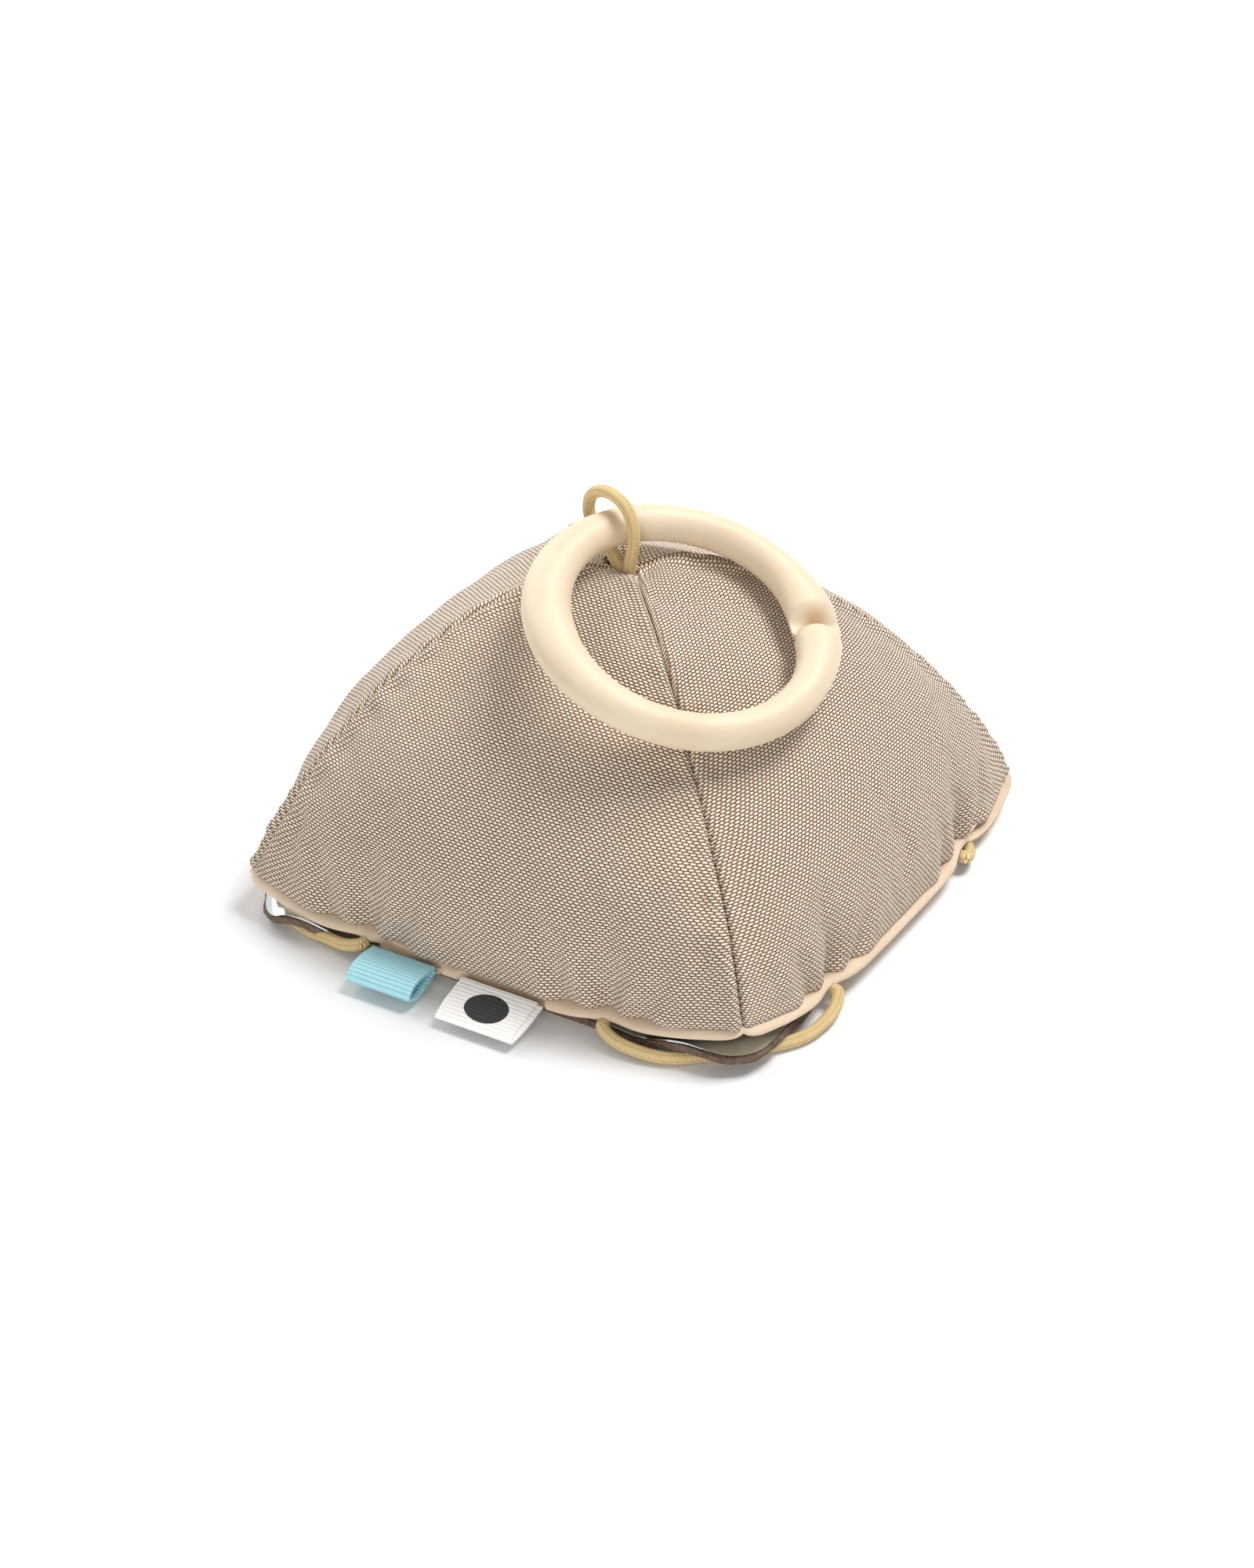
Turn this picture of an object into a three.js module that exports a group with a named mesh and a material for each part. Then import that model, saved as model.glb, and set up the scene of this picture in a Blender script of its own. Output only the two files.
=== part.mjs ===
import * as THREE from 'three';
import { mergeVertices } from 'three/addons/utils/BufferGeometryUtils.js';

// A stuffed four-sided pyramid pillow with a hanging ring at its peak, two ribbon tags on its front
// edge and a mirror sheet held under its base by an elastic across each corner.
// Sizes are in millimetres, Z is up and the floor is at zero. The tags are on the front, towards -Y.

const rad = THREE.MathUtils.degToRad;

// Pillow
const baseHalf = 65;
const peakHeight = 80.5;
const cornerHeight = 12;
const edgeHeight = 4.3;
const edgeBow = 6;
const cornerTurn = 3;
const cornerRound = 10;
const cornerPush = 2.3;
const cornerRise = 0.32;
const peakReach = 40;
const cornerReach = 40;
const cornerSlope = rad(62);
const crown = 10.8;
const crownFall = 3.4;
const crownRound = 3;
const peakLeanX = -2.3;
const peakLeanY = -1.4;
const peakHole = 6.5;
const canvasThickness = 1.2;
const twillThickness = 0.8;
const rimOut = 1.3;
const rimCornerShare = 0.25;
const rimDepth = 2.2;
const baseFlatInset = 5;
const baseCornerInset = 38;
const seamGap = 0.3;
const puckerInset = 2;
const puckerReach = 6;
const fillingDrop = 13;
const fillingGap = 1.6;

// Mirror sheet
const sheetOverhang = 1.1;
const sheetCornerRadius = 14;
const sheetForward = 1.5;
const feltThickness = 1.6;
const filmThickness = 0.4;
const layerGap = 0.2;
const seatGap = 0.3;
const liftStart = 21.5;
const liftEnd = 10.5;

// Elastic
const elasticDiameter = 3;
const elasticInset = 33;
const frontBow = 3;
const backBow = -1.8;
const elasticFloorGap = 0.2;
const elasticSheetGap = 0.6;
const loopTail = 7;
const loopTurn = rad(163);
const loopLegGap = 0.5;
const loopRingGap = 0.7;

// Ring
const ringRadius = 31.6;
const ringTube = 4.3;
const ringEndSwell = 1.7;
const ringEndReach = rad(24);
const ringPlateSwell = 1.6;
const ringPlateReach = rad(48);
const ringSplit = 0.6;
const ringDome = 4.2;
const ringTilt = rad(21.4);
const ringFall = rad(-21.1);
const ringLoopAngle = rad(6);
const ringSplitAngle = rad(113);
const ringAsideX = -3.6;
const ringAsideY = 0.2;
const ringRest = 1.2;

// Tags
const ribbonThickness = 0.7;
const ribbonEndGap = 0.3;
const blueWidth = 17;
const blueAt = -19.5;
const blueReach = 11.5;
const blueOpening = 3.2;
const whiteWidth = 20;
const whiteAt = 6.2;
const whiteReach = 12.6;
const blueDroop = rad(8.5);
const whiteDroop = rad(12.5);
const tagGap = 0.3;

const elasticRadius = elasticDiameter / 2;
const sheetHalf = baseHalf + sheetOverhang;
const baseBottom = feltThickness + layerGap + filmThickness + seatGap;
const sheetLift = elasticFloorGap + elasticDiameter + elasticSheetGap;

const bump = (distance, reach) => Math.exp(-((distance / reach) ** 2));
const smooth = (t) => {
  const c = THREE.MathUtils.clamp(t, 0, 1);
  return c * c * (3 - 2 * c);
};

// Closed geometry from triangles, with its shared corners merged and its faces pointing out.
function closed(triangles) {
  const volume = triangles.reduce((sum, [a, b, c]) => sum + a.dot(b.clone().cross(c)), 0);
  const points = [];
  for (const [a, b, c] of triangles) {
    const corners = volume > 0 ? [a, b, c] : [a, c, b];
    for (const corner of corners) points.push(corner.x, corner.y, corner.z);
  }
  const geometry = new THREE.BufferGeometry();
  geometry.setAttribute('position', new THREE.Float32BufferAttribute(points, 3));
  const merged = mergeVertices(geometry, 1e-5);
  merged.computeVertexNormals();
  return merged;
}

function quad(triangles, a, b, c, d) {
  triangles.push([a, b, c], [a, c, d]);
}

// Skin between neighbouring loops of equal count, from a first point to a last point.
function loft(first, loops, last) {
  const triangles = [];
  const count = loops[0].length;
  for (let j = 0; j < count; j++) {
    const k = (j + 1) % count;
    triangles.push([first, loops[0][k], loops[0][j]]);
    for (let i = 0; i + 1 < loops.length; i++) {
      quad(triangles, loops[i][j], loops[i][k], loops[i + 1][k], loops[i + 1][j]);
    }
    triangles.push([last, loops[loops.length - 1][j], loops[loops.length - 1][k]]);
  }
  return closed(triangles);
}

// A plate of cloth between two grids of points, closed along its four edges.
function plate(outer, inner) {
  const triangles = [];
  const rows = outer.length - 1;
  const columns = outer[0].length - 1;
  for (let i = 0; i < rows; i++) {
    for (let j = 0; j < columns; j++) {
      quad(triangles, outer[i][j], outer[i][j + 1], outer[i + 1][j + 1], outer[i + 1][j]);
      quad(triangles, inner[i][j], inner[i + 1][j], inner[i + 1][j + 1], inner[i][j + 1]);
    }
    quad(triangles, outer[i][0], outer[i + 1][0], inner[i + 1][0], inner[i][0]);
    quad(triangles, outer[i][columns], inner[i][columns], inner[i + 1][columns], outer[i + 1][columns]);
  }
  for (let j = 0; j < columns; j++) {
    quad(triangles, outer[0][j], inner[0][j], inner[0][j + 1], outer[0][j + 1]);
    quad(triangles, outer[rows][j], outer[rows][j + 1], inner[rows][j + 1], inner[rows][j]);
  }
  return closed(triangles);
}

// Round cord along a curve through the given points.
function cord(points, steps) {
  const sides = 8;
  const section = new THREE.Shape();
  for (let i = 0; i < sides; i++) {
    const angle = (2 * Math.PI * (i + 0.5)) / sides;
    const x = elasticRadius * Math.cos(angle);
    const y = elasticRadius * Math.sin(angle);
    if (i === 0) section.moveTo(x, y);
    else section.lineTo(x, y);
  }
  section.closePath();
  const path = new THREE.CatmullRomCurve3(points, false, 'centripetal');
  const tube = new THREE.ExtrudeGeometry(section, { steps, extrudePath: path });
  tube.deleteAttribute('normal');
  tube.deleteAttribute('uv');
  return mergeVertices(tube, 1e-5);
}

// Side seam, from a base corner (0) to the peak (1), as distance from the axis and height.
const seamCurve = new THREE.CubicBezierCurve(
  new THREE.Vector2(baseHalf * Math.SQRT2, cornerHeight),
  new THREE.Vector2(
    baseHalf * Math.SQRT2 - cornerReach * Math.cos(cornerSlope),
    cornerHeight + cornerReach * Math.sin(cornerSlope),
  ),
  new THREE.Vector2(peakReach, peakHeight),
  new THREE.Vector2(0, peakHeight),
);

// The seam moved inwards by a depth, still in its own upright plane.
function seamAt(v, depth) {
  const point = seamCurve.getPoint(v);
  const along = seamCurve.getTangent(v);
  return { half: (point.x - along.y * depth) / Math.SQRT2, z: point.y + along.x * depth, along };
}

// Share of the seam at which the panels stop, leaving the hole at the peak for the loop.
function topOfPanels() {
  let low = 0;
  let high = 1;
  for (let i = 0; i < 40; i++) {
    const mid = (low + high) / 2;
    if (seamAt(mid, 0).half > peakHole) low = mid;
    else high = mid;
  }
  return high;
}
const panelTop = topOfPanels();

const lean = (point) => {
  const share = smooth((point.z - cornerHeight) / (peakHeight - cornerHeight));
  point.x += peakLeanX * share;
  point.y += peakLeanY * share;
  return point;
};

// How far a base edge is drawn in by the elastics that leave it, at a distance along the edge.
const pucker = (x) => bump(Math.abs(x) - (baseHalf - elasticInset), puckerReach);

// How a panel swells from its base seam to the peak, fullest below the middle.
const fullest = 1 / (1 + crownFall);
const swelling = (v) => (v * (1 - v) ** crownFall) / (fullest * (1 - fullest) ** crownFall);

// Point on the front panel: u runs from left to right corner, v from the base seam to the peak.
function panelPoint(u, v, depth, sideGap) {
  const { half, z, along } = seamAt(v, depth);
  const face = Math.atan2(along.y * Math.SQRT2, -along.x);
  const middle = 1 - Math.abs(u) ** crownRound;
  const low = (1 - v) ** 3;
  const swell = middle * (edgeBow * (1 - v) ** 4 + crown * swelling(v));
  const inset = puckerInset * pucker(u * baseHalf) * bump(v, 0.12);
  const drop = (cornerHeight - edgeHeight) * (1 - Math.abs(u) ** cornerTurn) * low;
  const x = u * (half - sideGap);
  const out = half + swell * Math.sin(face) - inset;
  const rounded = roundedCorner(Math.abs(x), out, half - sideGap, half, v);
  return new THREE.Vector3(Math.sign(x) * rounded.x, -rounded.out, z + swell * Math.cos(face) - drop);
}

// A stuffed corner in plan: turned on a radius and pushed out a little, less so higher up the seam.
function roundedCorner(x, out, halfX, halfOut, v) {
  const share = Math.max(0, 1 - v / cornerRise);
  const radius = cornerRound * share;
  const acrossArc = x - (halfX - radius);
  if (radius === 0 || acrossArc <= 0) return { x, out };
  const outArc = out - (halfOut - radius);
  const scale = Math.max(acrossArc, outArc) / Math.hypot(acrossArc, outArc);
  const push = cornerPush * share * smooth(acrossArc / radius);
  return { x: halfX - radius + acrossArc * scale + push, out: halfOut - radius + outArc * scale + push };
}

const acrossPanel = 20;
const cornerSpacing = 1.5;
const upPanel = 10;

// Places across a panel, on each side of where the elastics leave its base edge, closer together at the corners.
function placeAcross(j, columns) {
  const exit = (baseHalf - elasticInset) / baseHalf;
  const from = (2 * j) / columns - 1;
  const share = Math.abs(from);
  const beyond = 1 - (2 - 2 * share) ** cornerSpacing;
  const place = share < 0.5 ? 2 * share * exit : exit + beyond * (1 - exit);
  return Math.sign(from) * place;
}

function panelGrid(depth, sideGap, turn) {
  const rows = [];
  for (let i = 0; i <= upPanel; i++) {
    const row = [];
    for (let j = 0; j <= acrossPanel; j++) {
      const point = panelPoint(placeAcross(j, acrossPanel), (panelTop * i) / upPanel, depth, sideGap);
      row.push(lean(point.applyAxisAngle(new THREE.Vector3(0, 0, 1), turn)));
    }
    rows.push(row);
  }
  return rows;
}

function sidePanel(turn) {
  const sideGap = seamGap / Math.SQRT2;
  return plate(panelGrid(0, sideGap, turn), panelGrid(canvasThickness, sideGap, turn));
}

// Loop around all four sides, from a function of the place along one side.
function aroundBase(perSide, pointAt) {
  const loop = [];
  for (let side = 0; side < 4; side++) {
    for (let j = 0; j < perSide; j++) {
      const point = pointAt(placeAcross(j, perSide));
      loop.push(lean(point.applyAxisAngle(new THREE.Vector3(0, 0, 1), (side * Math.PI) / 2)));
    }
  }
  return loop;
}

// How far inside the base seam the flat bottom ends, further in at the turned-up corners.
const baseInset = (u) => baseFlatInset + (baseCornerInset - baseFlatInset) * Math.abs(u) ** 2.5;

// Base panel: a flat twill bottom whose rim rolls up to the base seam and stands proud of the canvas.
function basePanel() {
  const ring = (outAt, heightAt) => aroundBase(acrossPanel, (u) => {
    const seam = panelPoint(u, 0, 0, 0);
    const out = outAt(u);
    const scale = (-seam.y + out) / -seam.y;
    const top = panelPoint(u, 0, canvasThickness, 0).z - seamGap;
    return new THREE.Vector3(seam.x * scale, seam.y * scale, heightAt(top));
  });
  const flat = (u) => -baseInset(u);
  const rim = (u) => rimOut * (1 - (1 - rimCornerShare) * u ** 8);
  const part = (share) => (top) => Math.max(baseBottom + share * (top - baseBottom), top - (1 - share) * rimDepth);
  const raised = (share) => (top) => part(share)(top) + (1 - share) * twillThickness;
  const floorAt = (height) => () => baseBottom + height;
  const loops = [
    ring(flat, floorAt(0)),
    ring((u) => -0.6 * rim(u), part(0.2)),
    ring((u) => rim(u), part(0.6)),
    ring(() => 0, part(1)),
    ring(() => -twillThickness, part(1)),
    ring((u) => rim(u) - twillThickness, raised(0.6)),
    ring((u) => -0.6 * rim(u) - twillThickness, raised(0.2)),
    ring((u) => flat(u) - twillThickness, floorAt(twillThickness)),
  ];
  const floor = new THREE.Vector3(0, 0, baseBottom);
  return loft(floor, loops, new THREE.Vector3(0, 0, baseBottom + twillThickness));
}

// Fibre filling: what is left inside the panels, flat below and stopping short of the loop's ends.
function filling() {
  const depth = canvasThickness + fillingGap;
  const bottom = baseBottom + twillThickness + seamGap;
  const flat = aroundBase(10, (u) => {
    const seam = panelPoint(u, 0, 0, 0);
    const scale = (-seam.y - baseInset(u) - 4) / -seam.y;
    return new THREE.Vector3(seam.x * scale, seam.y * scale, bottom);
  });
  const loops = [flat];
  const heights = 7;
  const start = 0.13;
  let top = start;
  while (seamAt(top, depth).z < peakHeight - fillingDrop) top += 0.005;
  for (let i = 0; i <= heights; i++) {
    loops.push(aroundBase(10, (u) => panelPoint(u, start + ((top - start) * i) / heights, depth, 0)));
  }
  const last = loops[loops.length - 1];
  const centre = last.reduce((sum, p) => sum.add(p), new THREE.Vector3()).divideScalar(last.length);
  centre.z = peakHeight - fillingDrop;
  return loft(new THREE.Vector3(0, 0, bottom), loops, centre);
}

// Ring frame: up the slope, level across it, and square to it.
const ringUp = new THREE.Vector3(
  -Math.cos(ringFall) * Math.cos(ringTilt),
  -Math.sin(ringFall) * Math.cos(ringTilt),
  Math.sin(ringTilt),
);
const ringAcross = new THREE.Vector3(-Math.sin(ringFall), Math.cos(ringFall), 0);
const ringNormal = new THREE.Vector3().crossVectors(ringAcross, ringUp).normalize();
const ringSpoke = (angle) => ringUp.clone().multiplyScalar(Math.cos(angle))
  .addScaledVector(ringAcross, Math.sin(angle));

// How much wider the tube is at an angle around the ring: at its two ends and opposite them.
function ringSwell(angle) {
  const fromSplit = Math.abs(Math.atan2(Math.sin(angle - ringSplitAngle), Math.cos(angle - ringSplitAngle)));
  return ringEndSwell * bump(fromSplit, ringEndReach) + ringPlateSwell * bump(Math.PI - fromSplit, ringPlateReach);
}

// The tube's middle where the loop holds it, over the peak, and the ring's centre from there.
const holdAt = (z) => new THREE.Vector3(peakLeanX + ringAsideX, peakLeanY + ringAsideY, z);
const centreAt = (z) => holdAt(z).addScaledVector(ringSpoke(ringLoopAngle), -ringRadius);

// How far a point is from the skin of a ring with a given centre.
function gapToRing(point, centre) {
  const from = point.clone().sub(centre);
  const height = from.dot(ringNormal);
  from.addScaledVector(ringNormal, -height);
  const swell = ringSwell(Math.atan2(from.dot(ringAcross), from.dot(ringUp)));
  return Math.hypot(Math.max(0, Math.abs(from.length() - ringRadius) - swell), height) - ringTube;
}

// Height of the held point once the ring has come down to rest on the panels.
function restingHeight() {
  const skin = [];
  const rows = 30;
  const columns = 36;
  for (let side = 0; side < 4; side++) {
    for (let i = 0; i <= rows; i++) {
      for (let j = 0; j <= columns; j++) {
        const v = panelTop * (0.3 + (0.7 * i) / rows);
        const point = panelPoint((2 * j) / columns - 1, v, 0, 0);
        skin.push(lean(point.applyAxisAngle(new THREE.Vector3(0, 0, 1), (side * Math.PI) / 2)));
      }
    }
  }
  let low = peakHeight;
  let high = peakHeight + ringRadius;
  for (let i = 0; i < 24; i++) {
    const mid = (low + high) / 2;
    const centre = centreAt(mid);
    if (skin.some((point) => gapToRing(point, centre) < ringRest)) low = mid;
    else high = mid;
  }
  return high;
}
const ringHold = holdAt(restingHeight());
const ringCentre = centreAt(ringHold.z);

// Split ring of oval tube, wider opposite the split and at its two ends, one end domed into the other.
function splitRing() {
  const sides = 12;
  const steps = 46;
  const loopAt = (angle, share, shift) => {
    const spoke = ringSpoke(angle);
    const ahead = new THREE.Vector3().crossVectors(ringNormal, spoke).normalize();
    const middle = ringCentre.clone().addScaledVector(spoke, ringRadius).addScaledVector(ahead, shift);
    const points = [];
    for (let j = 0; j < sides; j++) {
      const turn = (2 * Math.PI * j) / sides;
      points.push(middle.clone()
        .addScaledVector(spoke, share * (ringTube + ringSwell(angle)) * Math.cos(turn))
        .addScaledVector(ringNormal, share * ringTube * Math.sin(turn)));
    }
    return { points, middle };
  };
  const sense = Math.sign(ringSpoke(0.1).clone().sub(ringSpoke(0))
    .dot(new THREE.Vector3().crossVectors(ringNormal, ringSpoke(0))));
  const domeAngle = ringDome / ringRadius;
  const cleft = ringSplit / ringRadius;
  const from = ringSplitAngle + cleft + domeAngle;
  const to = ringSplitAngle + 2 * Math.PI + domeAngle;
  const loops = [];
  const caps = [0.22, 0.5, 0.78];
  const dome = (share) => ringDome * Math.sqrt(1 - share * share);
  for (const share of caps) loops.push(loopAt(from, share, -sense * dome(share)).points);
  for (let i = 0; i <= steps; i++) {
    const angle = from + ((to - from) * i) / steps;
    loops.push(loopAt(angle, 1, 0).points);
  }
  for (const share of caps.slice().reverse()) loops.push(loopAt(to, share, -sense * dome(share)).points);
  const first = loopAt(from, 1, -sense * ringDome).middle;
  const last = loopAt(to, 1, -sense * ringDome).middle;
  return loft(first, loops, last);
}

// Hanging loop: both ends go down through the hole at the peak, and the arch goes over the ring's tube.
function hangingLoop() {
  const along = new THREE.Vector3(Math.cos(loopTurn), Math.sin(loopTurn), 0);
  const root = (peakLeanX - ringHold.x) * along.x + (peakLeanY - ringHold.y) * along.y;
  const leg = elasticRadius + loopLegGap / 2;
  const clear = ringTube + elasticRadius + loopRingGap;
  const low = peakHeight - loopTail;
  const hold = ringHold.z;
  const route = [
    [root - leg, low],
    [root - leg, peakHeight - 1],
    [-clear + 0.45, hold - 4],
    [-clear + 0.05, hold - 2],
    [-clear - 0.1, hold + 0.8],
    [-clear + 0.6, hold + 3.9],
    [-clear + 2.8, hold + 7],
    [0.6, hold + 8.3],
    [4.6, hold + 7.7],
    [clear + 1.3, hold + 5.2],
    [clear + 2.2, hold + 1.8],
    [clear + 1, hold - 1.8],
    [clear - 1.4, hold - 4.2],
    [root + leg + 3.6, hold - 6.1],
    [root + leg + 0.6, peakHeight - 2.6],
    [root + leg, low],
  ];
  const points = route.map(([p, z]) => new THREE.Vector3(
    ringHold.x + along.x * p,
    ringHold.y + along.y * p,
    z,
  ));
  return cord(points, 40);
}

// Corner elastic: out of one base edge, down to the floor, under the sheet's corner and back up.
function cornerElastic(turn, bow) {
  const floor = elasticFloorGap + elasticRadius;
  const exit = panelPoint((baseHalf - elasticInset) / baseHalf, 0, 0, 0);
  const outside = baseHalf + exit.y;
  const start = rimOut + 2 * seamGap - outside;
  const half = [
    [-elasticInset, start, edgeHeight - 0.2],
    [-elasticInset + 0.3, start + 1.2, edgeHeight - 0.3],
    [-elasticInset + 4, start + 1.6 + 0.4 * bow, edgeHeight - 1.4],
    [-elasticInset + 10, start + bow, floor + 0.4],
    [-elasticInset + 17, start - 1 + 0.8 * bow, floor],
    [-elasticInset + 24, 1.2, floor],
  ];
  const place = ([x, out, z]) => new THREE.Vector3(baseHalf + x, -(baseHalf + out), z);
  const mirror = ([x, out, z]) => new THREE.Vector3(baseHalf + out, -(baseHalf + x), z);
  const points = [
    ...half.map(place),
    new THREE.Vector3(baseHalf - 4.2, -(baseHalf - 4.2), floor),
    ...half.slice().reverse().map(mirror),
  ];
  return cord(points.map((p) => p.applyAxisAngle(new THREE.Vector3(0, 0, 1), turn)), 36);
}

// Mirror sheet layer: flat on the floor, with its corners lifted over the elastics.
function sheetLayer(low, high) {
  const cornerSteps = 4;
  const edgeSteps = 5;
  const reach = sheetHalf - sheetCornerRadius;
  const lifted = liftStart * Math.SQRT2 - sheetCornerRadius;
  const oneSide = [];
  for (let j = 0; j <= edgeSteps; j++) {
    oneSide.push(new THREE.Vector2(reach - lifted * (1 - j / edgeSteps), -sheetHalf));
  }
  for (let j = 1; j <= cornerSteps; j++) {
    const angle = ((j / cornerSteps) * Math.PI) / 2 - Math.PI / 2;
    oneSide.push(new THREE.Vector2(
      reach + sheetCornerRadius * Math.cos(angle),
      sheetCornerRadius * Math.sin(angle) - reach,
    ));
  }
  for (let j = 1; j <= edgeSteps; j++) {
    oneSide.push(new THREE.Vector2(sheetHalf, -reach + (lifted * j) / edgeSteps));
  }
  const outline = [];
  for (let side = 0; side < 4; side++) {
    for (const p of oneSide) outline.push(p.clone().rotateAround(new THREE.Vector2(), (side * Math.PI) / 2));
  }
  const lift = (p) => {
    const fromTip = Math.SQRT2 * sheetHalf - (Math.abs(p.x) + Math.abs(p.y)) / Math.SQRT2;
    return sheetLift * smooth((liftStart - fromTip) / (liftStart - liftEnd));
  };
  const loopAt = (inset, height) => outline.map((corner) => {
    const p = corner.clone().multiplyScalar((sheetHalf - inset) / sheetHalf);
    return new THREE.Vector3(p.x, p.y - sheetForward, lift(p) + height);
  });
  const flatInset = liftStart - 4;
  const insets = [1, 0.75, 0.5, 0.25, 0].map((share) => share * flatInset);
  const under = insets.map((inset) => loopAt(inset, low));
  const over = insets.map((inset) => loopAt(inset, high));
  const triangles = [];
  const count = outline.length;
  const rim = insets.length - 1;
  for (let j = 0; j < count; j++) {
    const k = (j + 1) % count;
    for (let i = 0; i < rim; i++) {
      quad(triangles, under[i][j], under[i][k], under[i + 1][k], under[i + 1][j]);
      quad(triangles, over[i + 1][k], over[i][k], over[i][j], over[i + 1][j]);
    }
    quad(triangles, under[rim][j], under[rim][k], over[rim][k], over[rim][j]);
  }
  const third = Math.round(count / 3);
  const flat = [[0, third, 2 * third]];
  for (const [a, b] of [[0, third], [third, 2 * third], [2 * third, count]]) {
    for (let j = a + 1; j < b; j++) flat.push([a, j, (j + 1) % count]);
  }
  for (const [a, b, c] of flat) {
    triangles.push([under[0][a], under[0][c], under[0][b]], [over[0][a], over[0][b], over[0][c]]);
  }
  return closed(triangles);
}

// Ribbon tag: a flat strip bent in the upright plane and swept along the front edge.
function tag(profile, width, droop, root) {
  const shape = new THREE.Shape(profile);
  const geometry = new THREE.ExtrudeGeometry(shape, { depth: width, bevelEnabled: false });
  const frame = new THREE.Matrix4().makeBasis(
    new THREE.Vector3(0, -Math.cos(droop), -Math.sin(droop)),
    new THREE.Vector3(0, -Math.sin(droop), Math.cos(droop)),
    new THREE.Vector3(-1, 0, 0),
  );
  geometry.applyMatrix4(frame);
  geometry.translate(root.x + width / 2, root.y, root.z);
  geometry.deleteAttribute('normal');
  geometry.deleteAttribute('uv');
  return mergeVertices(geometry, 1e-5);
}

// Where a tag leaves the base seam, clear of the canvas and of the base panel's rim.
function tagRoot(at, thickness, droop) {
  const seam = panelPoint(at / baseHalf, 0, 0, 0);
  const out = rimOut + tagGap + thickness * Math.sin(droop);
  return new THREE.Vector3(at, seam.y - out, edgeHeight - 0.3);
}

// Blue tag: a ribbon loop that stands open, with both ends in the seam.
function blueTag() {
  const height = blueOpening + ribbonThickness;
  const together = (ribbonThickness + ribbonEndGap) / 2;
  const run = new THREE.SplineCurve([
    new THREE.Vector2(0, -together),
    new THREE.Vector2(0.35 * blueReach, -0.42 * height),
    new THREE.Vector2(0.72 * blueReach, -0.5 * height),
    new THREE.Vector2(blueReach - ribbonThickness / 2, 0),
    new THREE.Vector2(0.72 * blueReach, 0.5 * height),
    new THREE.Vector2(0.35 * blueReach, 0.42 * height),
    new THREE.Vector2(0, together),
  ]);
  const outer = [];
  const inner = [];
  const count = 20;
  for (let i = 0; i <= count; i++) {
    const point = run.getPoint(i / count);
    const along = run.getTangent(i / count);
    const out = new THREE.Vector2(along.y, -along.x).multiplyScalar(ribbonThickness / 2);
    if (i === 0 || i === count) out.set(0, Math.sign(out.y) * (ribbonThickness / 2));
    outer.push(point.clone().add(out));
    inner.push(point.clone().sub(out));
  }
  const root = tagRoot(blueAt, 2 * ribbonThickness, blueDroop);
  return tag([...outer, ...inner.reverse()], blueWidth, blueDroop, root);
}

// White tag: a ribbon pressed flat on itself.
function whiteTag() {
  const half = ribbonThickness;
  const profile = [new THREE.Vector2(0, -half), new THREE.Vector2(whiteReach - half, -half)];
  const count = 4;
  for (let i = 1; i <= count; i++) {
    const turn = Math.PI * (i / count - 0.5);
    profile.push(new THREE.Vector2(whiteReach - half + half * Math.cos(turn), half * Math.sin(turn)));
  }
  profile.push(new THREE.Vector2(0, half));
  return tag(profile, whiteWidth, whiteDroop, tagRoot(whiteAt, 2 * half, whiteDroop));
}

const finish = (color, roughness, metalness = 0) => new THREE.MeshStandardMaterial({
  color,
  roughness,
  metalness,
});
const canvas = () => finish(0xbfab95, 0.95);
const elastic = () => finish(0xdebe82, 0.7);

const pillow = new THREE.Group();
const add = (name, geometry, material) => {
  const mesh = new THREE.Mesh(geometry, material);
  mesh.name = name;
  pillow.add(mesh);
};

add('front_panel', sidePanel(0), canvas());
add('right_panel', sidePanel(Math.PI / 2), canvas());
add('back_panel', sidePanel(Math.PI), canvas());
add('left_panel', sidePanel(-Math.PI / 2), canvas());
add('base_panel', basePanel(), finish(0xc9ae92, 0.9));
add('fibre_filling', filling(), finish(0xf1eee8, 1));
add('hanging_loop', hangingLoop(), elastic());
add('hanging_ring', splitRing(), finish(0xe2cda5, 0.45));
add('corner_elastic_front_right', cornerElastic(0, frontBow), elastic());
add('corner_elastic_back_right', cornerElastic(Math.PI / 2, backBow), elastic());
add('corner_elastic_back_left', cornerElastic(Math.PI, backBow), elastic());
add('corner_elastic_front_left', cornerElastic(-Math.PI / 2, frontBow), elastic());
const filmLow = feltThickness + layerGap;
add('mirror_felt', sheetLayer(0, feltThickness), finish(0x7d6858, 1));
add('mirror_film', sheetLayer(filmLow, filmLow + filmThickness), finish(0xd8dcdc, 0.08, 1));
add('blue_ribbon_tag', blueTag(), finish(0x78b9c8, 0.85));
add('white_ribbon_tag', whiteTag(), finish(0xefebe4, 0.85));

export default pillow;
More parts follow.
